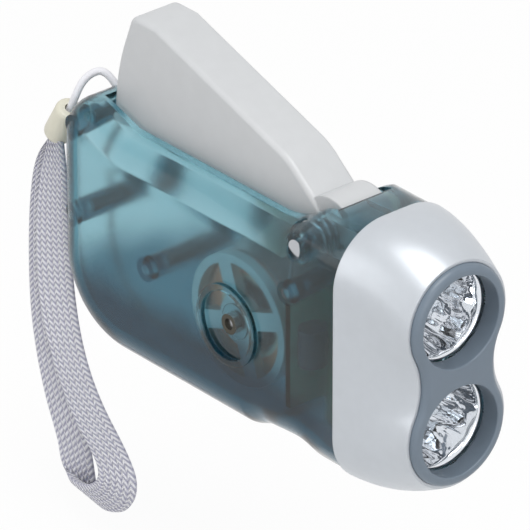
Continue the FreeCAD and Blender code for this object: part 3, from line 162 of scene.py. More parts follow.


# The housing's tinted shell: where its colour deepens, partly as painted shade along its underside, in
# millimetres

PIVOT_X, PIVOT_Z = 26.4, 17.2
BOSSES = ((-33.2, 17.0), (-33.2, 0.0), (-12.6, -2.5), (24.6, 8.1), (PIVOT_X, PIVOT_Z))
BOSS_OUTSIDE, BOSS_WALL_OUT, BOSS_WALL_IN, BOSS_BORE = 2.6, 2.0, 1.2, 0.7
# Painted shade below: the colour deepens between two heights, along an edge made wavy by noise; it also
# deepens towards the head end
PAINTED_SHADE_FROM_Z, PAINTED_SHADE_FULL_Z = -1.0, -9.0
NOSE_FROM_X, NOSE_FULL_X, NOSE_SHARE = 14.0, 30.0, 0.45
SHADE_EDGE_GRAIN, SHADE_EDGE_SWAY, SHELL_EDGE = 14.0, 10.0, 0.35
HAZE_GRAIN, HAZE_ROUGHNESS = 50.0 / 3, (0.15, 0.3)
ABSORPTION_PER_METRE = 300.0


def smoky_polycarbonate():
    """Moulded see-through polycarbonate: a glossy skin over a faint haze, deeper teal in painted shade along
    its underside, towards the head end and in rings round the bosses.
    """
    made = finish("smoky_teal_polycarbonate", "eaf4f6", 0.2, Transmission_Weight=1.0, IOR=1.22,
                  Coat_Weight=0.6, Coat_Roughness=0.06, Coat_IOR=1.45)
    place = add(made, "ShaderNodeTexCoord", {})
    haze = add(made, "ShaderNodeTexNoise", {"Scale": 1000.0 / HAZE_GRAIN, "Detail": PATCH_DETAIL,
                                            "Vector": (place, "Object")})
    spread = add(made, "ShaderNodeMapRange", {"Value": (haze, 0), "To Min": HAZE_ROUGHNESS[0],
                                              "To Max": HAZE_ROUGHNESS[1]})
    feed(made, "Roughness", spread)
    eased = add(made, "ShaderNodeBevel", {"Radius": SHELL_EDGE * MM}, samples=EDGE_SAMPLES)
    feed(made, "Normal", eased)
    parts = add(made, "ShaderNodeSeparateXYZ", {0: (place, "Object")})
    # Noise that makes the edge of the painted shade below wavy
    shade_edge_noise = add(made, "ShaderNodeTexNoise", {"Scale": 1000.0 / SHADE_EDGE_GRAIN, "Detail": 1.0,
                                               "Vector": (place, "Object")})
    sway = add(made, "ShaderNodeMath", {0: (shade_edge_noise, 0), 1: SHADE_EDGE_SWAY * MM, 2: (parts, "Z")},
               operation="MULTIPLY_ADD")
    # Painted shade: darker towards the underside
    painted_shade_below = add(made, "ShaderNodeMapRange", {"Value": (sway, 0), "From Min": PAINTED_SHADE_FROM_Z * MM,
                                             "From Max": PAINTED_SHADE_FULL_Z * MM}, interpolation_type="SMOOTHSTEP")
    nose = add(made, "ShaderNodeMapRange", {"Value": (parts, "X"), "From Min": NOSE_FROM_X * MM,
                                            "From Max": NOSE_FULL_X * MM, "To Max": NOSE_SHARE},
               interpolation_type="SMOOTHSTEP")
    shade_below_and_nose = add(made, "ShaderNodeMath", {0: (painted_shade_below, 0), 1: (nose, 0)}, operation="MAXIMUM")
    flat = add(made, "ShaderNodeVectorMath", {0: (place, "Object"), 1: (1.0, 0.0, 1.0)}, operation="MULTIPLY")
    near = None
    for x, z in BOSSES:
        away = add(made, "ShaderNodeVectorMath", {0: (flat, 0), 1: (x * MM, 0.0, z * MM)},
                   operation="DISTANCE")
        if near is None:
            near = away
        else:
            near = add(made, "ShaderNodeMath", {0: (near, "Value"), 1: (away, "Value")}, operation="MINIMUM")
    ring = add(made, "ShaderNodeMapRange", {"Value": (near, 0), "From Min": BOSS_OUTSIDE * MM,
                                            "From Max": BOSS_WALL_OUT * MM}, interpolation_type="SMOOTHSTEP")
    middle = add(made, "ShaderNodeMapRange", {"Value": (near, 0), "From Min": BOSS_BORE * MM,
                                              "From Max": BOSS_WALL_IN * MM}, interpolation_type="SMOOTHSTEP")
    boss = add(made, "ShaderNodeMath", {0: (ring, 0), 1: (middle, 0)}, operation="MULTIPLY")
    deep = add(made, "ShaderNodeMath", {0: (shade_below_and_nose, 0), 1: (boss, 0)}, operation="MAXIMUM")
    # Pale clear plastic, turning deep teal in the painted shade below, towards the head end and in the rings
    # round the bosses
    ramp = add(made, "ShaderNodeValToRGB", {0: (deep, 0)})
    set_stops(ramp, (0.0, linear("fbfeff")), (1.0, linear("437f92")))
    feed(made, "Base Color", ramp)
    tint = add(made, "ShaderNodeVolumeAbsorption", {"Color": linear("6cc5d1"),
                                                    "Density": ABSORPTION_PER_METRE})
    output = made.node_tree.nodes["Material Output"]
    made.node_tree.links.new(tint.outputs[0], output.inputs["Volume"])
    return made


# The strap's knit: the slant of its stitches across a rib, the light left in the grooves, and its relief

HALF_RIB, STITCH_SLANT, GROOVE_LIGHT, FULL_LIGHT, KNIT_DEPTH = 0.5, 1.7, 0.3, 0.5, 0.3


def ribbed_tape():
    """Knitted nylon tape: soft ribs of slanted stitches, coarser than real so that they show, with painted
    shade in the grooves and between the stitches.

    The UV map's X counts ribs and its Y counts stitches.
    """
    made = finish("ribbed_nylon_tape", "e4e4ee", 0.85, Sheen_Weight=0.3, Sheen_Roughness=0.5)
    place = add(made, "ShaderNodeUVMap", {})
    parts = add(made, "ShaderNodeSeparateXYZ", {0: (place, "UV")})
    rib = add(made, "ShaderNodeMath", {0: (parts, "X"), 1: HALF_RIB}, operation="PINGPONG")
    slant = add(made, "ShaderNodeMath", {0: (rib, 0), 1: STITCH_SLANT, 2: (parts, "Y")},
                operation="MULTIPLY_ADD")
    turn = add(made, "ShaderNodeMath", {0: (slant, 0), 1: 2 * math.pi}, operation="MULTIPLY")
    wave = add(made, "ShaderNodeMath", {0: (turn, 0)}, operation="SINE")
    stitch = add(made, "ShaderNodeMapRange", {"Value": (wave, 0), "From Min": -1.0})
    shade = add(made, "ShaderNodeMath", {0: (rib, 0), 1: (1 - GROOVE_LIGHT) / HALF_RIB, 2: GROOVE_LIGHT},
                operation="MULTIPLY_ADD")
    light = add(made, "ShaderNodeMath", {0: (stitch, 0), 1: (shade, 0)}, operation="MULTIPLY")
    # Painted shade: dark lilac grey in the grooves and between stitches, pale where the stitches stand up
    ramp = add(made, "ShaderNodeValToRGB", {0: (light, 0)})
    set_stops(ramp, (0.0, linear("a3a3b8")), (FULL_LIGHT, linear("f3f3f8")))
    feed(made, "Base Color", ramp)
    bump = add(made, "ShaderNodeBump", {"Strength": 1.0, "Distance": KNIT_DEPTH * MM, "Height": (light, 0)})
    feed(made, "Normal", bump)
    return made


# Every slot's finish, named for what the real one is

STEEL_GRAIN, STEEL_DEPTH = 0.35, 0.002
STEELS = (
    # Ground rod: bright, with a narrow highlight
    ("steel_pin", "ground_steel", "b9bbbf", 0.22),
    # Pressed and plated sheet with a wide highlight; its pale, teal-tinted grey is a painted reflection of
    # the tinted shell around it
    ("flywheel_steel", "plated_steel_painted_reflection", "b9cad0", 0.5),
    # Stacked sheet: a duller mid grey
    ("core_steel", "soft_iron_laminate", "9a9ea2", 0.35),
    # Drawn wire: a darker grey that still glints along each turn
    ("spring_steel", "drawn_spring_wire", "a5a7aa", 0.25),
    # Zinc plate: an even grey with a fairly sharp highlight
    ("screw_steel", "zinc_plated_screw", "a9abad", 0.28),
)


def make_finishes():
    """Each material slot's finish."""
    made = {
        "tinted_shell": smoky_polycarbonate(),
        # Sprayed over a moulding: metal flake gives a soft, broad highlight and a fine even grain
        "silver_shell": grained(finish("satin_silver_paint", "c0c5cb", 0.34, Metallic=0.35, Coat_Weight=0.2,
                                       Coat_Roughness=0.3), grain=0.16, depth=0.0015, edge=0.25),
        # Moulded with a satin texture: a bluish grey that takes a soft highlight
        "slate_bezel": grained(finish("satin_slate_moulding", "6d7a87", 0.38), grain=0.2, depth=0.002),
        # Polished sheet: almost no colour and a sharp reflection; a low IOR keeps the lamps in view
        "clear_window": finish("clear_acrylic", "fbfdff", 0.02, Transmission_Weight=1.0, IOR=1.2),
        # Aluminium laid on in a vacuum: a bright mirror broken up by its facets
        "bright_reflector": grained(finish("vacuum_metallised_facets", "f0f1f3", 0.05, Metallic=1.0),
                                    grain=0.6, depth=0.001),
        # Cast epoxy: a clear, glossy drop
        "lamp_resin": finish("clear_epoxy", "f4f8fb", 0.03, Transmission_Weight=0.95, IOR=1.4),
        # Green resist over copper and laminate: glossy, a little uneven in colour
        "board": clouded(finish("green_resist_board", "2a9a83", 0.35, Coat_Weight=0.4),
                         "25907a", "35a88f", patch=2.5),
        # Moulded epoxy: near black and matt
        "diode_body": grained(finish("black_epoxy", "17181a", 0.5), grain=0.3, depth=0.004),
        # Shrunk plastic film: dark blue, glossy, a little wrinkled
        "can_sleeve": grained(finish("printed_shrink_sleeve", "20263a", 0.3), grain=1.0, depth=0.01),
        # The same film in green, looser over the cell, so its wrinkles are deeper
        "cell_wrap": grained(finish("green_shrink_wrap", "2f7d4d", 0.32), grain=1.2, depth=0.02),
        # Moulded with a fine satin texture: pale grey with soft edges
        "lever_plastic": grained(finish("pale_grey_moulding", "c9cbcd", 0.36),
                                 grain=0.2, depth=0.0015, edge=0.5),
        # Unfilled acetal: a waxy off-white
        "gear_plastic": grained(finish("natural_acetal", "dddbd0", 0.45), grain=0.3, depth=0.003),
        # Plain white moulding, seen through the tinted shell: a cool pale grey
        "plate_plastic": grained(finish("white_moulding", "c2c8c8", 0.5), grain=0.3, depth=0.003),
        # Pressed and fired powder: dark grey, matt and slightly mottled
        "magnet_ferrite": clouded(finish("sintered_ferrite", "2a2b2e", 0.6), "25262a", "36373c", patch=1.0),
        # Pressed powder soaked in oil: a dark, dull metal
        "bush_brass": grained(finish("oiled_sintered_bronze", "4c4a42", 0.5, Metallic=0.8),
                              grain=0.3, depth=0.004),
        # Moulded nylon: cream and matt
        "bobbin_plastic": grained(finish("bobbin_nylon", "d8d4c6", 0.5), grain=0.3, depth=0.003),
        # Varnished wire: an orange glow more than a mirror, because varnish and gaps scatter the light
        "winding_copper": grained(finish("enamelled_copper_wire", "f79c74", 0.35, Metallic=0.1,
                                         Coat_Weight=0.5), grain=0.4, depth=0.02),
        "strap_tape": ribbed_tape(),
        # Braided yarn: soft and matt, its strands shown as bumps of about their own width
        "strap_cord": grained(finish("braided_nylon_cord", "e9e9ee", 0.8, Sheen_Weight=0.3),
                              grain=0.45, depth=0.06),
        # Moulded soft plastic: cream with rounded edges
        "ferrule_plastic": grained(finish("cream_moulding", "dcd9c8", 0.4),
                                   grain=0.25, depth=0.002, edge=0.2),
    }
    for slot, name, colour, roughness in STEELS:
        made[slot] = grained(finish(name, colour, roughness, Metallic=1.0), STEEL_GRAIN, STEEL_DEPTH)
    return made


FINISHES = make_finishes()
RECORD = frame["record"]
SLOT_OF = {part["node"]: part["material_slot"] for part in RECORD["subparts"]}
BODY_OF = {node: body for body, nodes in RECORD["behaviour"]["bodies"].items() for node in nodes}


# Pieces: functions that several of them use

LATHE_STEPS, ROUTE_STEPS, TETHER_STEPS = 96, 8, 16
ALONG_X = Vector((1, 0, 0))


def piece(name, mesh, node, crease=30.0, rides=True):
    """Links a mesh or curve in place of a node, in its slot's finish, smooth up to an angle in degrees."""
    if isinstance(mesh, bpy.types.Mesh):
        mesh.shade_smooth()
        mesh.set_sharp_from_angle(angle=math.radians(crease))
    thing = bpy.data.objects.new(name, mesh)
    scene.collection.objects.link(thing)
    mesh.materials.clear()
    mesh.materials.append(FINISHES[SLOT_OF[node]])
    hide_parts(node)
    if rides:
        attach(thing, BODY_OF[node])
    return thing


def mesh_of(work, name):
    """Turns a bmesh into a mesh whose faces point outwards."""
    bmesh.ops.recalc_face_normals(work, faces=work.faces)
    mesh = bpy.data.meshes.new(name)
    work.to_mesh(mesh)
    work.free()
    return mesh


def lathe(profile, steps=LATHE_STEPS):
    """A closed profile of radius and X, in millimetres, spun about the X axis."""
    work = bmesh.new()
    corners = [work.verts.new(Vector((along, radius, 0)) * MM) for radius, along in profile]
    edges = [work.edges.new((corners[k - 1], corners[k])) for k in range(len(corners))]
    bmesh.ops.spin(work, geom=corners + edges, cent=(0, 0, 0), axis=(1, 0, 0), dvec=(0, 0, 0),
                   angle=2 * math.pi, steps=steps, use_merge=True, use_duplicate=False)
    bmesh.ops.remove_doubles(work, verts=work.verts, dist=SPIN_JOIN_DISTANCE)
    return work


def set_along(work, way, place):
    """Turns lathed work from the X axis to another way, then moves it to a place in millimetres."""
    turn = ALONG_X.rotation_difference(way).to_matrix().to_4x4()
    bmesh.ops.transform(work, matrix=Matrix.Translation(place * MM) @ turn, verts=work.verts)


def smooth_line(name, points, steps):
    """A curve of one smooth line that has these control points, in millimetres."""
    curve = bpy.data.curves.new(name, "CURVE")
    curve.dimensions = "3D"
    spline = curve.splines.new("NURBS")
    spline.points.add(len(points) - 1)
    for knot, point in zip(spline.points, points):
        knot.co = (*(Vector(point) * MM), 1.0)
    spline.order_u = 3
    spline.use_endpoint_u = True
    spline.resolution_u = steps
    return curve


def line_points(points):
    """Points along the smooth line that has these control points, all in millimetres."""
    holder = bpy.data.objects.new("line", smooth_line("line", points, ROUTE_STEPS))
    scene.collection.objects.link(holder)
    graph = bpy.context.evaluated_depsgraph_get()
    mesh = bpy.data.meshes.new_from_object(holder.evaluated_get(graph))
    bpy.data.objects.remove(holder)
    return [vertex.co / MM for vertex in mesh.vertices]


# Wrist strap: the route's points, each with half of the tape's width

ROUTE = (
    ((-43.3, -7.62, 10.9), (1.2, 0.0, 0.4)), ((-43.2, -8.0, 4.7), (3.1, 0.0, 0.8)),
    ((-43.8, -8.1, -3.4), (4.2, 0.0, 1.2)), ((-43.8, -8.1, -12.2), (4.8, 0.0, 1.5)),
    ((-43.2, -8.1, -20.6), (4.9, 0.0, 1.8)), ((-41.9, -8.1, -27.0), (4.8, 0.0, 1.7)),
    ((-39.9, -8.1, -32.8), (4.6, 0.0, 1.7)), ((-37.3, -8.1, -37.8), (4.6, 0.0, 1.7)),
    ((-34.3, -8.1, -42.0), (4.8, 0.0, 1.8)), ((-31.2, -8.1, -45.2), (5.0, 0.0, 1.8)),
    ((-28.3, -8.1, -48.2), (5.0, 0.0, 1.6)), ((-26.4, -8.1, -51.2), (5.0, 0.2, 0.9)),
    ((-27.2, -7.9, -54.8), (4.0, 1.0, -0.8)), ((-30.6, -7.3, -58.2), (1.8, 2.4, -2.9)),
    ((-35.4, -6.5, -60.2), (1.1, 2.6, -3.2)), ((-39.3, -5.8, -59.8), (2.9, 1.4, -1.8)),
    ((-41.0, -5.4, -57.0), (4.4, 0.3, -0.3)), ((-41.7, -5.3, -53.8), (4.7, 0.0, 0.3)),
    ((-42.9, -5.3, -50.4), (4.8, 0.0, 0.5)), ((-44.8, -5.3, -46.2), (4.8, 0.0, 0.7)),
    ((-46.4, -5.3, -41.4), (4.7, 0.0, 0.9)), ((-47.7, -5.3, -36.4), (4.7, 0.0, 1.2)),
    ((-48.9, -5.3, -28.9), (4.8, 0.0, 1.6)), ((-49.3, -5.3, -20.8), (4.8, 0.0, 1.7)),
    ((-49.3, -5.3, -13.0), (4.7, 0.0, 1.7)), ((-49.1, -5.3, -5.6), (4.4, 0.0, 1.6)),
    ((-48.6, -5.3, 1.6), (3.6, 0.0, 1.3)), ((-46.6, -5.5, 6.6), (2.4, 0.0, 0.9)),
    ((-43.3, -5.78, 10.9), (1.2, 0.0, 0.4)),
)
RIBS, RIB_STEPS, TAPE_THICK, STITCH = 6, 6, 1.5, 1.15
RIB_ROUNDING, GROOVE_HEIGHT, EDGE_HEIGHT, EDGE_RISE = 0.6, 0.6, 0.35, 6.0


def tape_section(middle, half, depth):
    """Points round one section of the ribbed tape, with how far across it each one lies."""
    across = RIBS * RIB_STEPS
    section = []
    for face in (1, -1):
        for j in range(across + 1):
            share = j / across if face > 0 else 1 - j / across
            rib = abs(math.sin(math.pi * share * RIBS)) ** RIB_ROUNDING
            edge = min(1.0, EDGE_RISE * min(share, 1 - share) + EDGE_HEIGHT)
            height = TAPE_THICK / 2 * (GROOVE_HEIGHT + (1 - GROOVE_HEIGHT) * rib) * edge
            section.append((middle + half * (2 * share - 1) + depth * face * height, share))
    return section


def wrist_strap():
    """The tape, with the points that it follows and its length, both in metres."""
    middles = line_points([middle for middle, _ in ROUTE])
    rims = line_points([Vector(middle) + Vector(half) for middle, half in ROUTE])
    work = bmesh.new()
    ribs = work.loops.layers.uv.new("UVMap")
    rows, travelled = [], 0.0
    for k, (middle, rim) in enumerate(zip(middles, rims)):
        travelled += (middle - middles[max(k - 1, 0)]).length
        way = middles[min(k + 1, len(middles) - 1)] - middles[max(k - 1, 0)]
        depth = way.cross(rim - middle).normalized()
        section = tape_section(middle, rim - middle, depth)
        rows.append([(work.verts.new(point * MM), share * RIBS, travelled / STITCH)
                     for point, share in section])
    for near, far in zip(rows, rows[1:]):
        for j in range(len(near)):
            corners = [near[j - 1], near[j], far[j], far[j - 1]]
            face = work.faces.new([corner[0] for corner in corners])
            for loop, corner in zip(face.loops, corners):
                loop[ribs].uv = corner[1:]
    for row in (rows[0], rows[-1]):
        work.faces.new([corner[0] for corner in row])
    tape = piece("wrist_strap_tape", mesh_of(work, "tape"), "wrist_strap", crease=60)
    length = sum((b - a).length for a, b in zip(middles, middles[1:]))
    return tape, [point * MM for point in middles], length * MM


FERRULE_TOP, FERRULE_LEAN = Vector((-40.3, -6.7, 16.0)), math.radians(30.3)
FERRULE_WAY = Vector((-math.sin(FERRULE_LEAN), 0, -math.cos(FERRULE_LEAN)))
FERRULE_PROFILE = ((1.0, 0.0), (1.9, 0.0), (2.35, 0.2), (2.55, 0.7), (2.6, 6.8), (2.5, 7.25), (2.1, 7.5),
                   (1.0, 7.5))
FERRULE_SPIN = 48
TETHER_START, TETHER_RISE, TETHER_TOP = Vector((-33.8, 0.0, 17.8)), Vector((-0.6, 0.0, 0.8)), 6.2
TETHER_OVER, TETHER_TAIL, TETHER_RADIUS, TETHER_ROUND = Vector((-40.4, -3.4, 21.4)), 3.0, 0.7, 6


def strap_tether():
    """The round cord from the housing's rear top into the ferrule."""
    route = [TETHER_START, TETHER_START + TETHER_RISE * TETHER_TOP, TETHER_OVER, FERRULE_TOP,
             FERRULE_TOP + FERRULE_WAY * TETHER_TAIL]
    curve = smooth_line("tether", route, TETHER_STEPS)
    curve.bevel_depth = TETHER_RADIUS * MM
    curve.bevel_resolution = TETHER_ROUND
    curve.use_fill_caps = True
    return piece("strap_cord", curve, "strap_tether")


def strap_ferrule():
    """The moulded sleeve that the tape's ends and the tether go into."""
    work = lathe(FERRULE_PROFILE, FERRULE_SPIN)
    set_along(work, FERRULE_WAY, FERRULE_TOP)
    return piece("strap_sleeve", mesh_of(work, "sleeve"), "strap_ferrule", crease=50)


tape, strap_path, strap_length = wrist_strap()
strap_tether()
strap_ferrule()


# Reflectors: thin metallised dishes pressed into uneven facets

LAMP_RISE = 10.5
BOWL = ((0.0, 0.0), (0.1, 0.28), (0.25, 0.53), (0.42, 0.7), (0.6, 0.83), (0.8, 0.92), (1.0, 1.0))
BOWL_REAR, BOWL_MOUTH, BOWL_NECK_RADIUS, BOWL_MOUTH_RADIUS, BOWL_WALL = 38.6, 50.2, 2.75, 8.25, 0.5
BOWL_STEPS, BOWL_SPIN = 5, 120
FACET_SPREAD, FACET_DEPTH, FACET_SHARE, RIPPLE_SHARE = 1.5, 1.1, 1.2, 0.2


def bowl_profile():
    """Radius and X round a dish's section, up its inside and back down its outside."""
    fine = []
    for (a0, b0), (a1, b1) in zip(BOWL, BOWL[1:]):
        fine += [(a0 + (a1 - a0) * k / BOWL_STEPS, b0 + (b1 - b0) * k / BOWL_STEPS)
                 for k in range(BOWL_STEPS)]
    fine.append(BOWL[-1])
    profile = []
    for wall, run in ((0.0, fine), (BOWL_WALL, fine[::-1])):
        profile += [(BOWL_NECK_RADIUS + (BOWL_MOUTH_RADIUS - BOWL_NECK_RADIUS) * out + wall,
                     BOWL_REAR + (BOWL_MOUTH - BOWL_REAR) * along) for along, out in run]
    return profile


def reflector(name, rise, node, seed):
    """One dish at a lamp's height, dented by facets that differ with the seed."""
    work = lathe(bowl_profile(), BOWL_SPIN)
    for vertex in work.verts:
        radial = Vector((0, vertex.co.y, vertex.co.z))
        along = (vertex.co.x / MM - BOWL_REAR) / (BOWL_MOUTH - BOWL_REAR)
        turn = math.atan2(radial.z, radial.y)
        spot = Vector((math.cos(turn) * FACET_SPREAD + seed, math.sin(turn) * FACET_SPREAD,
                       along * FACET_SPREAD + seed))
        facet = noise.voronoi(spot)[0][0]
        fade = math.sin(math.pi * min(max(along, 0), 1)) ** 0.5
        dent = (facet * FACET_SHARE + RIPPLE_SHARE * noise.noise(spot)) * fade
        vertex.co -= radial.normalized() * (FACET_DEPTH * max(dent, 0.0) * MM)
    bmesh.ops.translate(work, vec=Vector((0, 0, rise)) * MM, verts=work.verts)
    return piece(name, mesh_of(work, name), node, crease=180)


reflector("upper_dish", LAMP_RISE, "upper_reflector", seed=3.1)
reflector("lower_dish", -LAMP_RISE, "lower_reflector", seed=7.7)


# Copper winding: turns laid side by side round the core, of wire drawn thick enough to show

WINDING_INNER, WINDING_OUTER, WIRE_RADIUS, WIRE_STEPS = 7.6, 10.8, 0.2, 5


def winding():
    """The winding's ribbed outside, spun about the core's axis, which lies along Y."""
    low, high = (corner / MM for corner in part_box("coil_winding"))
    middle = (low + high) / 2
    turns = int((high.y - low.y) / (2 * WIRE_RADIUS))
    profile = [(WINDING_INNER, low.y)]
    for k in range(turns):
        along = low.y + (high.y - low.y) * (k + 0.5) / turns
        for j in range(WIRE_STEPS):
            lean = math.pi * ((j + 0.5) / WIRE_STEPS - 0.5)
            profile.append((WINDING_OUTER - WIRE_RADIUS + WIRE_RADIUS * math.cos(lean),
                            along + WIRE_RADIUS * math.sin(lean)))
    profile.append((WINDING_INNER, high.y))
    work = lathe(profile)
    set_along(work, Vector((0, 1, 0)), Vector((middle.x, 0, middle.z)))
    return piece("winding_turns", mesh_of(work, "winding"), "coil_winding", crease=60)


winding()


# Head: lofted from its rounded rim to the two lamp lobes, with a valley that deepens towards the bezel

RIM_X, HEAD_FRONT_X, HEAD_HALF_WIDTH, HEAD_HALF_HEIGHT = 38.0, 53.7, 14.0, 25.0
LOBE, WAIST_DEPTH, HEAD_BULGE, HEAD_WALL, VALLEY_POWER = 11.0, 2.5, 1.3, 1.5, 1.6
BEZEL_REAR_X, BEZEL_FRONT_X, BEZEL_LOBE, SEAT_GAP, WELL_RADIUS = 50.2, 55.0, 10.4, 0.05, 8.5
OUTER_ROUND, WELL_ROUND, WINDOW_X, WINDOW_RADIUS = 1.2, 0.3, 51.4, 9.0
HEAD_BANDS, FLANK_STEPS, CORNER_STEPS, EDGE_STEPS, WELL_STEPS = 24, 20, 14, 6, 96


def lobe_side(height, lobe):
    """Half the width of the figure-eight outline at a height between the lamp middles."""
    waist = lobe - WAIST_DEPTH
    curve = (waist ** 2 + LAMP_RISE ** 2 - lobe ** 2) / (2 * WAIST_DEPTH)
    if height > LAMP_RISE * curve / (curve + lobe):
        return math.sqrt(lobe ** 2 - (LAMP_RISE - height) ** 2)
    return waist + curve - math.sqrt(curve ** 2 - height ** 2)


def head_outline(along, middle_y, middle_z, radius, valley):
    """Points of one closed ring across the head; valley is the share of the full waist that it has."""
    quarter = []
    for k in range(FLANK_STEPS):
        share = k / FLANK_STEPS
        drop = valley * (radius - lobe_side(share * LAMP_RISE, radius))
        quarter.append((middle_y + radius - drop, share * middle_z))
    for k in range(CORNER_STEPS + 1):
        turn = math.pi / 2 * k / CORNER_STEPS
        quarter.append((middle_y + radius * math.cos(turn), middle_z + radius * math.sin(turn)))
    outline = []
    for side, rise in ((1, 1), (-1, 1), (-1, -1), (1, -1)):
        points = quarter if side == rise else quarter[::-1]
        outline += [(side * y, rise * z) for y, z in (points[1:] if side == rise else points[:-1])]
        if side != rise:
            outline.append((side * quarter[0][0], 0.0))
    return [Vector((along, y, z)) * MM for y, z in outline]


def loft(work, outlines):
    """Extrudes a closed ring from each outline to the next, and gives the first and last rings' edges."""
    ring = [work.verts.new(point) for point in outlines[0]]
    first = [work.edges.new((ring[k - 1], ring[k])) for k in range(len(ring))]
    edges = first
    for outline in outlines[1:]:
        goal = dict(zip(ring, outline))
        made = bmesh.ops.extrude_edge_only(work, edges=edges)["geom"]
        grown = {}
        for corner in made:
            if isinstance(corner, bmesh.types.BMVert):
                others = [edge.other_vert(corner) for edge in corner.link_edges]
                source = next(other for other in others if other in goal)
                grown[source] = corner
                corner.co = goal[source]
        fresh = set(grown.values())
        edges = [edge for edge in made if isinstance(edge, bmesh.types.BMEdge) and set(edge.verts) <= fresh]
        ring = [grown[corner] for corner in ring]
    return first, edges


def head_flare(radius, reach):
    """The flare's outlines, from the rim to a reach of the way along."""
    sections = []
    for k in range(HEAD_BANDS + 1):
        share = reach * k / HEAD_BANDS
        middle_z = HEAD_HALF_HEIGHT - LOBE + (LAMP_RISE - HEAD_HALF_HEIGHT + LOBE) * share
        sections.append((RIM_X + (HEAD_FRONT_X - RIM_X) * share, (HEAD_HALF_WIDTH - LOBE) * (1 - share),
                         middle_z + 4 * HEAD_BULGE * share * (1 - share), radius, share ** VALLEY_POWER))
    return [head_outline(*section) for section in sections]


def head_skin():
    """The head as a closed wall: out along the flare, round the bezel's seat and back inside."""
    work = bmesh.new()
    outlines = head_flare(LOBE, 1.0)
    outside = outlines[0]
    outlines += [head_outline(along, 0.0, LAMP_RISE, BEZEL_LOBE + SEAT_GAP, 1.0)
                 for along in (HEAD_FRONT_X, BEZEL_REAR_X)]
    outlines += head_flare(LOBE - HEAD_WALL, (BEZEL_REAR_X - RIM_X) / (HEAD_FRONT_X - RIM_X))[::-1]
    loft(work, outlines + [outside])
    bmesh.ops.remove_doubles(work, verts=work.verts, dist=JOIN_DISTANCE)
    return piece("head_skin", mesh_of(work, "head"), "head_shell", crease=40)


def well_ring(work, along, radius, rise):
    """The edges of one circle of a lamp's well."""
    place = Matrix.Translation(Vector((along, 0, rise)) * MM) @ Matrix.Rotation(math.pi / 2, 4, "Y")
    made = bmesh.ops.create_circle(work, segments=WELL_STEPS, radius=radius * MM, cap_ends=False,
                                   matrix=place)
    return list({edge for vertex in made["verts"] for edge in vertex.link_edges})


def bezel_face():
    """The bezel with its outer edge and well rims rounded off."""
    work = bmesh.new()
    turns = [math.pi / 2 * k / EDGE_STEPS for k in range(EDGE_STEPS + 1)]
    outer = [head_outline(BEZEL_REAR_X, 0.0, LAMP_RISE, BEZEL_LOBE, 1.0)]
    for turn in turns:
        outer.append(head_outline(BEZEL_FRONT_X - OUTER_ROUND * (1 - math.sin(turn)), 0.0, LAMP_RISE,
                                  BEZEL_LOBE - OUTER_ROUND * (1 - math.cos(turn)), 1.0))
    rear, front = loft(work, outer)
    fronts, rears, strips = [front], [rear], []
    for rise in (LAMP_RISE, -LAMP_RISE):
        well = [well_ring(work, BEZEL_FRONT_X - WELL_ROUND * (1 - math.cos(turn)),
                          WELL_RADIUS + WELL_ROUND * (1 - math.sin(turn)), rise) for turn in turns]
        for along, radius in ((WINDOW_X, WELL_RADIUS), (WINDOW_X, WINDOW_RADIUS),
                              (BEZEL_REAR_X, WINDOW_RADIUS)):
            well.append(well_ring(work, along, radius, rise))
        fronts.append(well[0])
        rears.append(well[-1])
        strips.append(well)
    for strip in strips:
        for near, far in zip(strip, strip[1:]):
            bmesh.ops.bridge_loops(work, edges=near + far)
    for rims in (fronts, rears):
        bmesh.ops.triangle_fill(work, use_beauty=True, use_dissolve=False, normal=(1, 0, 0),
                                edges=[edge for rim in rims for edge in rim])
    bmesh.ops.remove_doubles(work, verts=work.verts, dist=JOIN_DISTANCE)
    return piece("bezel_face", mesh_of(work, "bezel"), "face_bezel", crease=35)


head_skin()
bezel_face()


# Rigid pieces that keep their frame shape: copies with joined, smooth surfaces

MADE_ABOVE = {"wrist_strap", "strap_tether", "strap_ferrule", "upper_reflector", "lower_reflector",
              "coil_winding", "head_shell", "face_bezel"}


def joined(node):
    """A copy of a node's mesh with its loose triangles joined."""
    mesh = frame["nodes"][node].data.copy()
    work = bmesh.new()
    work.from_mesh(mesh)
    bmesh.ops.remove_doubles(work, verts=work.verts, dist=JOIN_DISTANCE)
    work.to_mesh(mesh)
    work.free()
    if mesh.has_custom_normals:
        mesh.attributes.remove(mesh.attributes["custom_normal"])
    return mesh


def lever_spring():
    """The coil on the pivot, wound up between the housing and the lever as the lever moves."""
    coil = piece("lever_spring_coil", joined("lever_spring"), "lever_spring", crease=60, rides=False)
    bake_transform(coil)


lever_spring()
for node in sorted(set(frame["nodes"]) - MADE_ABOVE - {"lever_spring"}):
    piece(node + "_part", joined(node), node)


# Studio: a pale floor and a world that look white, and soft lamps; places and sizes in metres

FLOOR_Z, FLOOR_REACH, FLOOR_GLOW = -66.0 * MM, 3.0, 0.95
WORLD_LIGHT, WORLD_SHOWN = 0.4, 1.0
LAMPS = (
    ("key", (0.25, -0.1, 0.8), 0.5, 4.6),
    ("front", (0.8, -0.3, 0.25), 0.5, 1.5),
    ("side", (-0.35, -0.7, 0.3), 0.6, 1.2),
)


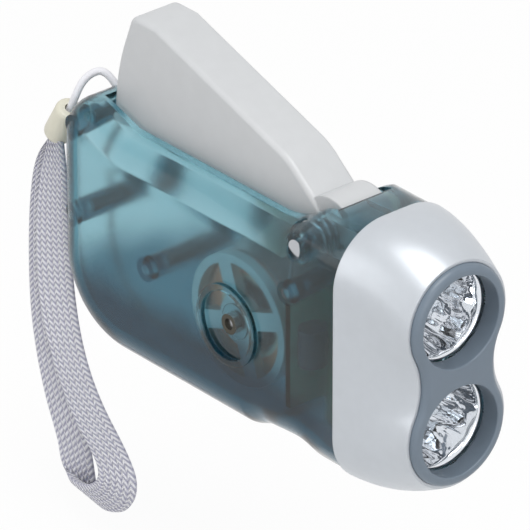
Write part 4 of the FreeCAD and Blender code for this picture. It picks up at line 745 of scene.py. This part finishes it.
def seen(owner):
    """One for the camera's rays, reflections and rays through glass, none for the rest."""
    rays = add(owner, "ShaderNodeLightPath", {})
    mirrored = add(owner, "ShaderNodeMath", {0: (rays, "Is Camera Ray"), 1: (rays, "Is Glossy Ray")},
                   operation="MAXIMUM")
    return add(owner, "ShaderNodeMath", {0: (mirrored, 0), 1: (rays, "Is Transmission Ray")},
               operation="MAXIMUM")


def soft_lamp(name, place, side, power):
    """A square lamp of a side in metres and a power in watts, turned to the object."""
    data = bpy.data.lights.new(name, "AREA")
    data.size, data.energy = side, power
    lamp = bpy.data.objects.new(name, data)
    scene.collection.objects.link(lamp)
    lamp.location = place
    lamp.rotation_euler = Vector(place).to_track_quat("Z", "Y").to_euler()


def white_paper():
    """Matt paper that shows white where it is seen and still keeps the object's shadow."""
    paper = bpy.data.materials.new("white_paper")
    paper.use_nodes = True
    paper.node_tree.nodes.clear()
    share = add(paper, "ShaderNodeMath", {0: (seen(paper), 0), 1: FLOOR_GLOW}, operation="MULTIPLY")
    sheet = add(paper, "ShaderNodeBsdfDiffuse", {"Color": linear("f4f4f4")})
    glow = add(paper, "ShaderNodeEmission", {"Strength": 1.0})
    both = add(paper, "ShaderNodeMixShader", {0: (share, 0), 1: (sheet, 0), 2: (glow, 0)})
    add(paper, "ShaderNodeOutputMaterial", {"Surface": (both, 0)})
    return paper


def white_floor():
    """The paper floor under the hanging strap."""
    work = bmesh.new()
    bmesh.ops.create_grid(work, x_segments=1, y_segments=1, size=FLOOR_REACH)
    bmesh.ops.translate(work, vec=(0, 0, FLOOR_Z), verts=work.verts)
    mesh = bpy.data.meshes.new("floor")
    work.to_mesh(mesh)
    work.free()
    mesh.materials.append(white_paper())
    floor = bpy.data.objects.new("floor", mesh)
    scene.collection.objects.link(floor)


def white_world():
    """A white world, dimmer as light on the object than where it is seen."""
    world = bpy.data.worlds.new("studio")
    scene.world = world
    world.use_nodes = True
    level = add(world, "ShaderNodeMapRange", {"Value": (seen(world), 0), "To Min": WORLD_LIGHT,
                                              "To Max": WORLD_SHOWN})
    sky = world.node_tree.nodes["Background"]
    sky.inputs["Color"].default_value = (1.0, 1.0, 1.0, 1.0)
    world.node_tree.links.new(level.outputs[0], sky.inputs["Strength"])


for name, place, side, power in LAMPS:
    soft_lamp(name, place, side, power)
white_floor()
white_world()
